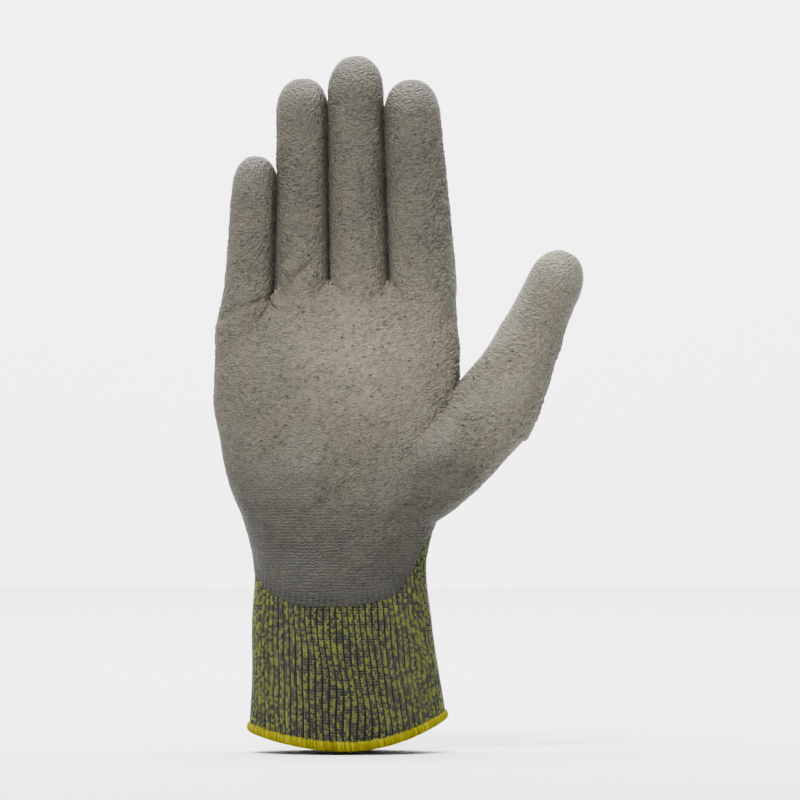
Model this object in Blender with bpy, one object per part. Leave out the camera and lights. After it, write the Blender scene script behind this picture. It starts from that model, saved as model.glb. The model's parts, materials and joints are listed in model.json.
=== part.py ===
"""Cut resistant work glove for the right hand, modelled filled out, as a hand fills it.

The frame is in metres with +Z up along the fingers. The palm side faces -Y, the thumb is on the
+X side, and the origin is the middle of the cuff's mouth, level with the lowest point of the hem.

A glove is one knitted shell, one film of coating and one hem thread. So that it can bend, shell
and film are divided at the folds of the hand: each stretch between two folds is a stiff tube of
knit with its own film, and each fold is a band of its own that fills the notch between two tubes.
"""
import math
from collections import namedtuple

import bmesh
import bpy
from mathutils import Matrix, Vector

MM = 0.001

# ---- cloth and film ---------------------------------------------------------------------------
KNIT_WALL = 1.2 * MM        # knitted shell of palm, fingers and thumb
RIB_WALL = 1.6 * MM         # the ribbed cuff is thicker
FILM = 0.5 * MM             # coating on the palm side
GAP = 0.3 * MM              # between two solids that touch
FILM_SEAT = GAP             # the film's inner face, measured out from the knit
FILM_TOP = GAP + FILM       # the film's outer face

# ---- folds ------------------------------------------------------------------------------------
FOLD_WAIST = 1.0 * MM       # half the height of a fold band on its hinge
FOLD_CLEAR = 2.0            # degrees of spare opening on each side of a fold
HINGE_PALMWARD = 2.0 * MM   # finger hinges lie this far in front of the finger's axis
KNUCKLE_BEND, KNUCKLE_BACK = 45.0, 10.0
MIDDLE_BEND = 90.0
END_BEND = 60.0
THUMB_ROOT_BEND = 40.0
THUMB_END_BEND = 60.0
WRIST_BEND = 40.0

# ---- cuff and hand ------------------------------------------------------------------------------
HEM_Z = 0.0
WRIST_Z = 69 * MM
WEB_Z = 168 * MM            # the crotches on either side of the middle finger
WEB_DROP_X = -20 * MM       # the web falls away towards the little finger from here
WEB_DROP_SLOPE = 0.75
LITTLE_DROP = 7.4 * MM      # the little finger starts this much lower


def cuff_z(share):
    return HEM_Z + share * (WRIST_Z - HEM_Z)


def hand_z(share):
    return WRIST_Z + share * (WEB_Z - WRIST_Z)


# Sections of cuff and hand: height, left edge, right edge and half depth
Station = namedtuple("Station", "z left right half_y")
STATIONS = [
    Station(cuff_z(0.0), -35.2 * MM, 35.6 * MM, 25.0 * MM),
    Station(cuff_z(0.29), -34.2 * MM, 33.2 * MM, 23.6 * MM),
    Station(cuff_z(0.65), -34.2 * MM, 30.4 * MM, 22.0 * MM),
    Station(WRIST_Z, -33.4 * MM, 28.6 * MM, 20.6 * MM),
    Station(hand_z(0.15), -36.4 * MM, 32.0 * MM, 18.6 * MM),
    Station(hand_z(0.35), -42.2 * MM, 35.4 * MM, 16.0 * MM),
    Station(hand_z(0.60), -46.0 * MM, 39.4 * MM, 14.2 * MM),
    Station(hand_z(0.80), -47.2 * MM, 39.6 * MM, 12.4 * MM),
    Station(hand_z(0.92), -44.6 * MM, 38.8 * MM, 8.8 * MM),
    Station(WEB_Z, -43.4 * MM, 37.6 * MM, 4.0 * MM),
]
CUFF_ROUND, HAND_ROUND = 2.0, 2.5   # roundness of the outline: 2 is an ellipse, more is squarer
HEM_RISE = 8.5 * MM         # the mouth's edge rises from the middle to the sides
HEM_LEAN = 2.2 * MM         # and a little more on the thumb side
HEM_RISE_END = 50 * MM      # height at which that has faded out
HEM_HEIGHT = 3.4 * MM       # band of overlock thread
HEM_PROUD = 0.9 * MM        # how far the thread stands out from the knit
HEM_UNDER = 1.0 * MM        # thickness of thread below the knit's edge
HEEL_FILM_Z = 53 * MM       # lower edge of the coating below the wrist
FILM_EDGE_DEG = 26.0        # the film wraps this far behind the side of hand and fingers

# ---- fingers ------------------------------------------------------------------------------------
# knuckle: from the crotch to the first fold. stiff: the straight stretches between the notches of
# two folds, on the palm side. tip: from the last fold to the fingertip. depth: depth over width.
Digit = namedtuple("Digit", "name root_w tip_w depth knuckle stiff tip")
INDEX = Digit("index", 21.8 * MM, 18.3 * MM, 0.96, 6.0 * MM, (3.7 * MM, 6.2 * MM), 23.0 * MM)
MIDDLE = Digit("middle", 19.0 * MM, 17.4 * MM, 0.98, 6.0 * MM, (8.6 * MM, 11.2 * MM), 25.5 * MM)
RING = Digit("ring", 16.4 * MM, 15.6 * MM, 1.0, 6.0 * MM, (7.3 * MM, 10.1 * MM), 23.0 * MM)
LITTLE = Digit("little", 15.6 * MM, 14.2 * MM, 1.0, 5.0 * MM, (1.2 * MM, 3.2 * MM), 18.0 * MM)
THUMB_DIGIT = Digit("thumb", 27.2 * MM, 18.8 * MM, 0.96, 10.0 * MM, (8.8 * MM,), 29.0 * MM)
MIDDLE_X = 4.7 * MM         # the middle finger's root
MIDDLE_LEAN = -1.3          # degrees towards +X
INDEX_GAPS = (0.9 * MM, 0.8 * MM)    # between the films of two fingers, at the root and the tip
RING_GAPS = (1.0 * MM, 1.2 * MM)
LITTLE_GAPS = (3.2 * MM, 0.7 * MM)
THUMB_X = 54.4 * MM
THUMB_RISE = 53 * MM        # from the wrist to the root of the thumb
THUMB_LEAN = 24.3           # degrees towards +X
THUMB_TURN = 15.0           # degrees by which the thumb's palm side faces the fingers
FINGER_ROUND = 2.15         # roundness of a finger's section, as for the hand
TIP_BLUNT = 2.3             # 2 gives an elliptical fingertip, more a blunter one
TIP_HEIGHT = 1.15           # height of the rounded end over the tip's half width
THIMBLE = 15 * MM           # the film closes round the whole finger above this, from the tip down
STUB_BELOW = 30 * MM        # the finger's form reaches this far down into the hand
STUB_FULL = 4 * MM          # it keeps its full width down to here
STUB_NARROW = 0.66          # and narrows to this share of it at its lower end
CUT_MARGIN = 0.4 * MM       # the cut through a finger's root is this much wider than its film
STUB_ABOVE = 6 * MM         # and this far past its first fold, which cuts it off
# The ball of the thumb: middle x, height above the wrist, middle depth, half width
Ball = namedtuple("Ball", "x rise y half_w")
BALL = [
    Ball(10 * MM, 11 * MM, -3 * MM, 7 * MM),
    Ball(22 * MM, 21 * MM, -4 * MM, 12 * MM),
    Ball(34 * MM, 32 * MM, -4.5 * MM, 14 * MM),
    Ball(45.5 * MM, 43 * MM, -2.5 * MM, 13.6 * MM),
]
THUMB_WEB = 1.25            # the thumb's root is this much wider towards the fingers

# ---- fineness of the facets ---------------------------------------------------------------------
HAND_SIDES = 28
CUFF_SIDES = 28
FINGER_SIDES = 14
TUBE_RINGS = 3
TIP_RINGS = 4
PALM_RINGS = 9
CUFF_RINGS = 4
SETTLE_STEPS = 4            # rounds in which a point on a slanted edge finds its height

COLOURS = {
    "knit": ((0.33, 0.36, 0.17, 1.0), 0.9),
    "film": ((0.23, 0.22, 0.19, 1.0), 0.55),
    "fold": ((0.27, 0.28, 0.19, 1.0), 0.8),
    "hem": ((0.50, 0.42, 0.03, 1.0), 0.8),
}


# ---- meshes ---------------------------------------------------------------------------------------
def clear_scene():
    for old in list(bpy.data.objects):
        bpy.data.objects.remove(old)


def collection(name):
    made = bpy.data.collections.new(name)
    bpy.context.scene.collection.children.link(made)
    return made


def material(kind):
    made = bpy.data.materials.new(kind)
    made.use_nodes = True
    shader = made.node_tree.nodes["Principled BSDF"]
    shader.inputs["Base Color"].default_value = COLOURS[kind][0]
    shader.inputs["Roughness"].default_value = COLOURS[kind][1]
    shader.inputs["Metallic"].default_value = 0.0
    return made


def grid_faces(count_rows, count_cols, close_rows, close_cols):
    """Quads over a grid of points, each as four (row, column) pairs."""
    rows = count_rows if close_rows else count_rows - 1
    cols = count_cols if close_cols else count_cols - 1
    for i in range(rows):
        for j in range(cols):
            k, m = (i + 1) % count_rows, (j + 1) % count_cols
            yield (i, j), (i, m), (k, m), (k, j)


def mesh_from_grid(name, rows, close_rows, close_cols=True, poles=False, ladder=False, plate=False):
    """One closed mesh over rings of points.

    poles: the first and last row are single points. ladder: both end rings are closed by rungs
    from the front to the back. plate: the rows run up one face of a bent plate and down the
    other, and the plate's two side edges are closed.
    """
    bm = bmesh.new()
    body = rows[1:-1] if poles else rows
    verts = [[bm.verts.new(point) for point in row] for row in body]
    count, sides = len(body), len(body[0])
    for corners in grid_faces(count, sides, close_rows, close_cols):
        bm.faces.new([verts[i][j] for i, j in corners])
    if poles:
        for pole, ring in ((rows[0], verts[0]), (rows[-1], verts[-1])):
            tip = bm.verts.new(pole)
            for j in range(sides):
                bm.faces.new((ring[j], ring[(j + 1) % sides], tip))
    if ladder:
        half = sides // 2
        for ring in (verts[0], verts[-1]):
            bm.faces.new((ring[0], ring[1], ring[-1]))
            for j in range(1, half - 1):
                bm.faces.new((ring[j], ring[j + 1], ring[sides - j - 1], ring[sides - j]))
            bm.faces.new((ring[half - 1], ring[half], ring[half + 1]))
    if plate:
        for j in (0, sides - 1):
            for i in range(count // 2 - 1):
                far = count - 1 - i
                bm.faces.new((verts[i][j], verts[i + 1][j], verts[far - 1][j], verts[far][j]))
    bmesh.ops.recalc_face_normals(bm, faces=bm.faces[:])
    mesh = bpy.data.meshes.new(name)
    bm.to_mesh(mesh)
    bm.free()
    return mesh


def split_quads(mesh):
    """Cuts every quad along the same diagonal, so that forms nested in one another stay nested."""
    bm = bmesh.new()
    bm.from_mesh(mesh)
    quads = [face for face in bm.faces if len(face.verts) == 4]
    bmesh.ops.triangulate(bm, faces=quads, quad_method="FIXED")
    bm.to_mesh(mesh)
    bm.free()
    return mesh


def new_object(name, mesh, home, kind=None):
    obj = bpy.data.objects.new(name, mesh)
    home.objects.link(obj)
    if kind:
        mesh.shade_smooth()
        mesh.set_sharp_from_angle(angle=math.radians(40))
        mesh.materials.append(MATERIALS[kind])
    else:
        obj.hide_render = True
        obj.display_type = "WIRE"
    return obj


def boolean(obj, tool, operation):
    step = obj.modifiers.new(f"{operation.lower()} {tool.name}"[:60], "BOOLEAN")
    step.object = tool
    step.operation = operation
    step.solver = "EXACT"


def hinge_empty(name, matrix, parent=None):
    """An empty on a joint's axis, which carries the pieces that the joint moves."""
    empty = bpy.data.objects.new(name, None)
    empty.empty_display_size = 8 * MM
    PARTS.objects.link(empty)
    empty.parent = parent
    empty.matrix_world = matrix
    bpy.context.view_layer.update()
    return empty


def carry(obj, empty):
    """Parent a piece modelled in world coordinates to its joint's empty, its origin on the axis."""
    obj.data.transform(empty.matrix_world.inverted())
    obj.parent = empty


# ---- the forms of hand and fingers --------------------------------------------------------------
def blend(a, b, t):
    return a + (b - a) * t


def smooth(t):
    t = min(max(t, 0.0), 1.0)
    return t * t * (3 - 2 * t)


def spline(values, marks, at):
    """A smooth curve through values at increasing marks (Catmull-Rom)."""
    at = min(max(at, marks[0]), marks[-1])
    k = max(i for i in range(len(marks) - 1) if marks[i] <= at)
    slopes = []
    for i in (k, k + 1):
        low, high = max(i - 1, 0), min(i + 1, len(marks) - 1)
        slopes.append((values[high] - values[low]) / (marks[high] - marks[low]))
    span = marks[k + 1] - marks[k]
    t = (at - marks[k]) / span
    start = values[k] * (2 * t**3 - 3 * t**2 + 1) + slopes[0] * span * (t**3 - 2 * t**2 + t)
    end = values[k + 1] * (3 * t**2 - 2 * t**3) + slopes[1] * span * (t**3 - t**2)
    return start + end


def round_xy(angle, half_x, half_y, power):
    """A point of a superellipse; angle 0 is +X and a quarter turn is +Y, the back of the hand."""
    c, s = math.cos(angle), math.sin(angle)
    x = half_x * math.copysign(abs(c) ** (2 / power), c)
    y = half_y * math.copysign(abs(s) ** (2 / power), s)
    return x, y


def turn_angles(sides):
    return [2 * math.pi * j / sides for j in range(sides)]


def film_angles(sides):
    """The angles of a full turn that lie under the film, from one edge round the front to the other.

    They are the same angles as the knit's and the fold's, so that their edges run side by side.
    """
    wrap = int(FILM_EDGE_DEG * sides / 360)
    return [2 * math.pi * j / sides for j in range(sides // 2 - wrap, sides + wrap + 1)]


def hand_point(z, angle, out, power=None):
    """A point on cuff or hand at height z, out from the face of the knit."""
    marks = [s.z for s in STATIONS]
    left, right, half_y = (
        spline([getattr(s, field) for s in STATIONS], marks, z)
        for field in ("left", "right", "half_y")
    )
    if power is None:
        power = blend(CUFF_ROUND, HAND_ROUND, smooth((z - WRIST_Z) / (40 * MM)))
    x, y = round_xy(angle, (right - left) / 2 + out, half_y + out, power)
    return Vector(((left + right) / 2 + x, y, z))


def hem_lift(x, z):
    """How far a point of the cuff is lifted because the mouth's edge curves up at the sides."""
    side = x / STATIONS[0].right
    fade = 1 - smooth(z / HEM_RISE_END)
    return (HEM_RISE * side * side + HEM_LEAN * side * abs(side)) * fade


def web_top(x):
    """Height of the hand's upper edge between the fingers."""
    return WEB_Z - WEB_DROP_SLOPE * max(0.0, WEB_DROP_X - x)


def notch_reach(digit, bend):
    """How far a fold's notch reaches along the palm side from its hinge."""
    front = digit.root_w * digit.depth / 2 + FILM_TOP - HINGE_PALMWARD
    return FOLD_WAIST + front * math.tan(math.radians(bend / 2 + FOLD_CLEAR))


def fold_places(digit, bends):
    """Where the hinges lie along a finger, and its whole length."""
    places = [digit.knuckle]
    for stiff, lower, upper in zip(digit.stiff, bends, bends[1:]):
        places.append(places[-1] + notch_reach(digit, lower) + stiff + notch_reach(digit, upper))
    return places, places[-1] + digit.tip


Finger = namedtuple("Finger", "name root_x root_z lean turn root_w tip_w depth length places bends")


def set_finger(digit, root_x, root_z, lean, turn=0.0, bends=(KNUCKLE_BEND, MIDDLE_BEND, END_BEND)):
    places, length = fold_places(digit, bends)
    return Finger(digit.name, root_x, root_z, lean, turn, digit.root_w, digit.tip_w, digit.depth,
                  length, places, bends)


def tip_dome(finger):
    """Height of a finger's rounded end."""
    return TIP_HEIGHT * finger.tip_w / 2


def set_beside(digit, near, side, root_z, gaps):
    """Set a finger beside its neighbour, with one gap at its root and one at its tip."""
    def level_x(z, half, gap):
        s = z - near.root_z
        near_x = near.root_x + s * math.sin(math.radians(near.lean))
        near_half = finger_halves(near, max(s, 0.0), FILM_TOP)[0]
        return near_x + side * (near_half + gap + FILM_TOP + half)

    rough = set_finger(digit, 0.0, root_z, 0.0)
    rise = rough.length - tip_dome(rough)
    root_x = level_x(root_z, digit.root_w / 2, gaps[0])
    tip_x = level_x(root_z + rise, digit.tip_w / 2, gaps[1])
    return set_finger(digit, root_x, root_z, math.degrees(math.atan2(tip_x - root_x, rise)))


def finger_frame(finger):
    """The finger's own frame: origin at its crotch, +Z along it, -Y towards what it grips."""
    place = Matrix.Translation((finger.root_x, 0, finger.root_z))
    lean = Matrix.Rotation(math.radians(finger.lean), 4, "Y")
    turn = Matrix.Rotation(math.radians(-finger.turn), 4, "Z")
    return place @ lean @ turn


def finger_halves(finger, s, out):
    """Half width and half depth of a finger at s along it, and how far its tip narrows there."""
    dome = tip_dome(finger)
    straight = finger.length - dome
    width = blend(finger.root_w, finger.tip_w, smooth(s / straight))
    rise = min(max(s - straight, 0.0) / (dome + out), 1.0)
    shrink = (1 - rise**TIP_BLUNT) ** (1 / TIP_BLUNT)
    return width / 2 + out, width * finger.depth / 2 + out, shrink


def finger_point(finger, s, angle, out):
    """A point on a finger. Angles 0 and pi lie level with the hinges, where the folds' planes meet."""
    half_w, half_d, shrink = finger_halves(finger, s, out)
    level = math.asin((HINGE_PALMWARD / half_d) ** (FINGER_ROUND / 2))
    x, y = round_xy(angle - level * math.cos(angle), half_w, half_d, FINGER_ROUND)
    return Vector((x * shrink, y * shrink, s))


# ---- folds: the planes on both sides of a hinge ---------------------------------------------------
Fold = namedtuple("Fold", "at y front back waist")


def fold(at, y, bend_front, bend_back=0.0):
    """A hinge at height `at` and depth y, with the bends it allows to the front and to the back."""
    front = math.tan(math.radians(bend_front / 2 + FOLD_CLEAR))
    back = math.tan(math.radians(bend_back / 2 + FOLD_CLEAR)) if bend_back else 0.0
    return Fold(at, y, front, back, FOLD_WAIST)


def opening(one, y, shrink=0.0):
    """Half the height of the notch of a fold at depth y."""
    slope = one.front if y < one.y else one.back
    steep = math.hypot(1.0, max(one.front, one.back))
    return one.waist - shrink * steep + slope * abs(y - one.y)


def finger_folds(finger):
    """The folds of a finger, from its root to its tip; only a finger's knuckle bends back."""
    backs = [KNUCKLE_BACK if finger.name != "thumb" else 0.0] + [0.0] * (len(finger.places) - 1)
    return [fold(at, -HINGE_PALMWARD, bend, back)
            for at, bend, back in zip(finger.places, finger.bends, backs)]


# ---- pieces of a finger -----------------------------------------------------------------------------
def finger_ring(finger, angles, out, height):
    """A ring of points whose height depends on the depth of each point."""
    ring = []
    for angle in angles:
        point = finger_point(finger, height(0.0, angle), angle, out)
        for _ in range(SETTLE_STEPS):
            point = finger_point(finger, height(point.y, angle), angle, out)
        ring.append(point)
    return ring


def between(low, high, t):
    return lambda y, angle: blend(low(y, angle), high(y, angle), t)


def above(one):
    return lambda y, angle: one.at + opening(one, y)


def below(one):
    return lambda y, angle: one.at - opening(one, y)


def wall_rows(finger, angles, low, high, outer, inner, rings):
    """Rings up the outer face and down the inner face."""
    steps = [i / rings for i in range(rings + 1)]
    rows = [finger_ring(finger, angles, outer, between(low, high, t)) for t in steps]
    rows += [finger_ring(finger, angles, inner, between(low, high, t)) for t in reversed(steps)]
    return rows


def tip_rows(finger, low, outer, inner):
    """Rings from the outer pole down to the lower edge and up the inner face to the inner pole."""
    angles = turn_angles(FINGER_SIDES)
    dome = tip_dome(finger)
    shoulder = finger.length - dome

    def face(out):
        rows = []
        for i in range(1, TIP_RINGS):
            rise = math.cos(math.radians(90 * i / TIP_RINGS)) * (dome + out)
            rows.append(finger_ring(finger, angles, out, lambda y, a, r=rise: shoulder + r))
        for i in range(TUBE_RINGS):
            t = i / (TUBE_RINGS - 1)
            rows.append(finger_ring(finger, angles, out, between(lambda y, a: shoulder, low, t)))
        return rows

    top, under = Vector((0, 0, finger.length + outer)), Vector((0, 0, finger.length + inner))
    return [top] + face(outer) + list(reversed(face(inner))) + [under]


def make_tube(name, finger, low, high):
    rows = wall_rows(finger, turn_angles(FINGER_SIDES), low, high, 0.0, -KNIT_WALL, TUBE_RINGS)
    return new_object(name, mesh_from_grid(name, rows, True), PARTS, "knit")


def make_film(name, finger, low, high):
    angles = film_angles(FINGER_SIDES)
    rows = wall_rows(finger, angles, low, high, FILM_TOP, FILM_SEAT, TUBE_RINGS)
    mesh = mesh_from_grid(name, rows, True, close_cols=False, plate=True)
    return new_object(name, mesh, PARTS, "film")


def make_band(name, finger, one):
    """The band of cloth and film that fills the notch of a fold."""
    def low(y, angle):
        return one.at - opening(one, y, GAP)

    def high(y, angle):
        return one.at + opening(one, y, GAP)

    rows = wall_rows(finger, turn_angles(FINGER_SIDES), low, high, FILM_TOP, -KNIT_WALL, 1)
    return new_object(name, mesh_from_grid(name, rows, True), PARTS, "fold")


def make_tip(name, finger, low):
    mesh = mesh_from_grid(name, tip_rows(finger, low, 0.0, -KNIT_WALL), False, poles=True)
    return new_object(name, mesh, PARTS, "knit")


def make_tip_film(name, finger, one):
    """The film over the tip: the palm side as far down as the fold, and a thimble round the end."""
    def low(y, angle):
        behind = smooth((math.sin(angle) - math.sin(math.radians(FILM_EDGE_DEG))) / 0.5)
        return blend(one.at + opening(one, y), finger.length - THIMBLE, behind)

    mesh = mesh_from_grid(name, tip_rows(finger, low, FILM_TOP, FILM_SEAT), False, poles=True)
    return new_object(name, mesh, PARTS, "film")


def make_finger(finger, palm_hinge):
    """All the pieces of one finger, each on the empty of the hinge that moves it."""
    frame = finger_frame(finger)
    folds = finger_folds(finger)
    names = ["base", "middle", "tip"] if len(folds) == 3 else ["base", "tip"]
    carrier = palm_hinge
    for k, (part, one) in enumerate(zip(names, folds)):
        hinge = Matrix.Translation((0, one.y, one.at))
        band = make_band(f"{finger.name}_{part}_fold", finger, one)
        band.data.transform(frame)
        carry(band, carrier)
        carrier = hinge_empty(f"{finger.name}_{part}_hinge", frame @ hinge, carrier)
        knit, film = f"{finger.name}_{part}_knit", f"{finger.name}_{part}_coating"
        if part == "tip":
            made = [make_tip(knit, finger, above(one)), make_tip_film(film, finger, one)]
        else:
            high = below(folds[k + 1])
            made = [make_tube(knit, finger, above(one), high), make_film(film, finger, above(one), high)]
        for obj in made:
            obj.data.transform(frame)
            carry(obj, carrier)


# ---- the hand ---------------------------------------------------------------------------------------
def hand_form(name, out, home, kind=None):
    """The solid form of the hand from below the wrist to the webs, `out` from the knit's face."""
    base = WRIST_Z - 6 * MM
    rows = []
    for i in range(PALM_RINGS + 1):
        t = i / PALM_RINGS
        level = blend(base, WEB_Z, t)
        at_end = out if i in (0, PALM_RINGS) else 0.0
        ring = []
        for angle in turn_angles(HAND_SIDES):
            knit_face = hand_point(level, angle, 0.0)
            point = hand_point(level, angle, out)
            point.z = blend(base, web_top(knit_face.x), t) + at_end
            ring.append(point)
        rows.append(ring)
    return new_object(name, split_quads(mesh_from_grid(name, rows, False, ladder=True)), home, kind)


def stub_form(name, finger, out):
    """The root of a finger as a solid that runs from inside the hand past the finger's crotch."""
    frame = finger_frame(finger)
    rows = []
    for s in (-STUB_BELOW, -0.6 * STUB_BELOW, -STUB_FULL, finger.places[0] + STUB_ABOVE):
        sunk = (-s - STUB_FULL) / (STUB_BELOW - STUB_FULL)
        share = blend(1.0, STUB_NARROW, min(max(sunk, 0.0), 1.0))
        ring = []
        for angle in turn_angles(FINGER_SIDES):
            p = finger_point(finger, max(s, 0.0), angle, 0.0)
            beyond = finger_point(finger, max(s, 0.0), angle, out) - p
            ring.append(frame @ Vector((p.x * share + beyond.x, p.y * share + beyond.y, s)))
        rows.append(ring)
    return new_object(name, mesh_from_grid(name, rows, False, ladder=True), CUTTERS)


def ball_form(name, out):
    """The ball of the thumb as a solid that ends past the fold at the thumb's root."""
    frame = finger_frame(THUMB)
    angles = turn_angles(FINGER_SIDES + 4)
    axis = (frame.to_3x3() @ Vector((0, 0, 1))).normalized()
    path = [Vector((one.x, one.y, WRIST_Z + one.rise)) for one in BALL] + [frame.translation]
    rows = []
    for k, one in enumerate(BALL):
        along = (path[k + 1] - path[max(k - 1, 0)]).normalized()
        along = along.lerp(axis, k / len(BALL)).normalized()
        here = path[k] + along * (out if k == 0 else 0.0)
        side = Vector((0, 1, 0)).cross(along).normalized()
        deep = along.cross(side).normalized()
        ring = []
        for angle in angles:
            x, y = round_xy(angle, one.half_w + out, one.half_w * THUMB.depth + out, FINGER_ROUND)
            ring.append(here + side * x + deep * y)
        rows.append(ring)
    for s, web in ((0.0, THUMB_WEB), (THUMB.places[0] + STUB_ABOVE, 1.0)):
        ring = []
        for angle in angles:
            turned = angle + math.radians(THUMB.turn)
            p = finger_point(THUMB, s, turned, 0.0)
            beyond = finger_point(THUMB, s, turned, out) - p
            wide = web if p.x < 0 else 1.0
            ring.append(frame @ Vector((p.x * wide + beyond.x, p.y + beyond.y, s)))
        rows.append(ring)
    return new_object(name, mesh_from_grid(name, rows, False, ladder=True), CUTTERS)


def notch_cutter(name, frame, one, half_x, down):
    """A block with a V side that takes away all beyond a fold; down turns it over."""
    reach, depth, sign = 30 * MM, 45 * MM, -1 if down else 1
    outline = [
        (one.y - depth, one.at - sign * opening(one, one.y - depth)),
        (one.y, one.at - sign * one.waist),
        (one.y + depth, one.at - sign * opening(one, one.y + depth)),
        (one.y + depth, one.at + sign * reach),
        (one.y - depth, one.at + sign * reach),
    ]
    bm = bmesh.new()
    near = [bm.verts.new(frame @ Vector((-half_x, y, z))) for y, z in outline]
    far = [bm.verts.new(frame @ Vector((half_x, y, z))) for y, z in outline]
    for j in range(len(outline)):
        m = (j + 1) % len(outline)
        bm.faces.new((near[j], near[m], far[m], far[j]))
    bm.faces.new(near)
    bm.faces.new(far)
    bmesh.ops.recalc_face_normals(bm, faces=bm.faces[:])
    mesh = bpy.data.meshes.new(name)
    bm.to_mesh(mesh)
    bm.free()
    return new_object(name, mesh, CUTTERS)


def join_forms(obj, out, tag):
    """Unite the hand's form with the roots of the fingers and the ball of the thumb."""
    for finger in FINGERS:
        boolean(obj, stub_form(f"{finger.name}_root_{tag}", finger, out), "UNION")
    boolean(obj, ball_form(f"ball_{tag}", out), "UNION")


def film_side_cutter():
    """A block behind the hand that takes the film off its back."""
    behind = STATIONS[5].half_y * math.sin(math.radians(FILM_EDGE_DEG))
    depth = 60 * MM
    size = Matrix.Diagonal((240 * MM, depth, 260 * MM, 1.0))
    bm = bmesh.new()
    bmesh.ops.create_cube(bm, size=1.0, matrix=size)
    mesh = bpy.data.meshes.new("film_side_cutter")
    bm.to_mesh(mesh)
    bm.free()
    mesh.transform(Matrix.Translation((20 * MM, behind + depth / 2, 120 * MM)))
    return new_object("film_side_cutter", mesh, CUTTERS)


def make_palm(wrist, palm_hinge):
    ends = []
    for finger in FINGERS + [THUMB]:
        half = finger.root_w / 2 + FILM_TOP + CUT_MARGIN
        one = finger_folds(finger)[0]
        ends.append(notch_cutter(f"{finger.name}_end_cutter", finger_frame(finger), one, half, False))
    ends.append(notch_cutter("wrist_end_cutter", Matrix(), wrist, 90 * MM, True))

    palm = hand_form("palm_knit", 0.0, PARTS, "knit")
    join_forms(palm, 0.0, "face")
    hollow = hand_form("palm_hollow", -KNIT_WALL, CUTTERS)
    join_forms(hollow, -KNIT_WALL, "hollow")

    film = hand_form("palm_coating", FILM_TOP, PARTS, "film")
    join_forms(film, FILM_TOP, "film")
    boolean(film, film_side_cutter(), "DIFFERENCE")
    seat = hand_form("palm_film_seat", FILM_SEAT, CUTTERS)
    join_forms(seat, FILM_SEAT, "seat")
    for obj, inside in ((palm, hollow), (film, seat)):
        for cutter in ends:
            boolean(obj, cutter, "DIFFERENCE")
        boolean(obj, inside, "DIFFERENCE")
        carry(obj, palm_hinge)


# ---- the cuff -----------------------------------------------------------------------------------------
def cuff_ring(z, out, sides=CUFF_SIDES, angles=None, power=None):
    ring = []
    for angle in angles or turn_angles(sides):
        point = hand_point(z, angle, out, power)
        point.z += hem_lift(point.x, z)
        ring.append(point)
    return ring


def wrist_ring(wrist, t, start, out, angles):
    """A ring between a level of the cuff and the underside of the wrist's fold."""
    ring = []
    for angle in angles:
        point = hand_point(wrist.at, angle, out)
        for _ in range(SETTLE_STEPS):
            z = blend(start, wrist.at - opening(wrist, point.y), t)
            point = hand_point(z, angle, out)
        point.z += hem_lift(point.x, z)
        ring.append(point)
    return ring


def make_cuff(wrist):
    start = HEM_Z + HEM_UNDER + GAP
    angles = turn_angles(CUFF_SIDES)
    steps = [i / CUFF_RINGS for i in range(CUFF_RINGS + 1)]
    rows = [wrist_ring(wrist, t, start, 0.0, angles) for t in steps]
    rows += [wrist_ring(wrist, t, start, -RIB_WALL, angles) for t in reversed(steps)]
    new_object("cuff_rib", mesh_from_grid("cuff_rib", rows, True), PARTS, "knit")

    proud, seat = GAP + HEM_PROUD, GAP
    profile = [
        (proud, HEM_Z + 0.7 * MM), (proud, HEM_HEIGHT - 0.5 * MM), (proud - 0.4 * MM, HEM_HEIGHT),
        (seat, HEM_HEIGHT), (seat, HEM_Z + HEM_UNDER),
        (-RIB_WALL - seat, HEM_Z + HEM_UNDER), (-RIB_WALL - seat, HEM_HEIGHT),
        (-RIB_WALL - proud + 0.4 * MM, HEM_HEIGHT), (-RIB_WALL - proud, HEM_HEIGHT - 0.5 * MM),
        (-RIB_WALL - proud, HEM_Z + 0.7 * MM), (-RIB_WALL - seat, HEM_Z), (seat, HEM_Z),
    ]
    rows = [cuff_ring(z, out) for out, z in profile]
    new_object("cuff_hem", mesh_from_grid("cuff_hem", rows, True), PARTS, "hem")

    arc = film_angles(CUFF_SIDES)
    rows = [wrist_ring(wrist, t, HEEL_FILM_Z, FILM_TOP, arc) for t in (0.0, 1.0)]
    rows += [wrist_ring(wrist, t, HEEL_FILM_Z, FILM_SEAT, arc) for t in (1.0, 0.0)]
    mesh = mesh_from_grid("heel_coating", rows, True, close_cols=False, plate=True)
    new_object("heel_coating", mesh, PARTS, "film")


def make_wrist_band(wrist):
    """The band of cloth that fills the notch between cuff and hand."""
    angles = turn_angles(CUFF_SIDES)

    def ring(out, sign):
        points = []
        for angle in angles:
            point = hand_point(wrist.at, angle, out)
            for _ in range(SETTLE_STEPS):
                z = wrist.at + sign * opening(wrist, point.y, GAP)
                point = hand_point(z, angle, out)
            points.append(point)
        return points

    middle = [[hand_point(wrist.at, angle, out) for angle in angles] for out in (FILM_TOP, -RIB_WALL)]
    rows = [ring(FILM_TOP, -1), middle[0], ring(FILM_TOP, 1)]
    rows += [ring(-RIB_WALL, 1), middle[1], ring(-RIB_WALL, -1)]
    new_object("wrist_fold", mesh_from_grid("wrist_fold", rows, True), PARTS, "fold")


clear_scene()
PARTS = collection("cut_resistant_glove")
CUTTERS = collection("cutters")
MATERIALS = {kind: material(kind) for kind in COLOURS}

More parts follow.
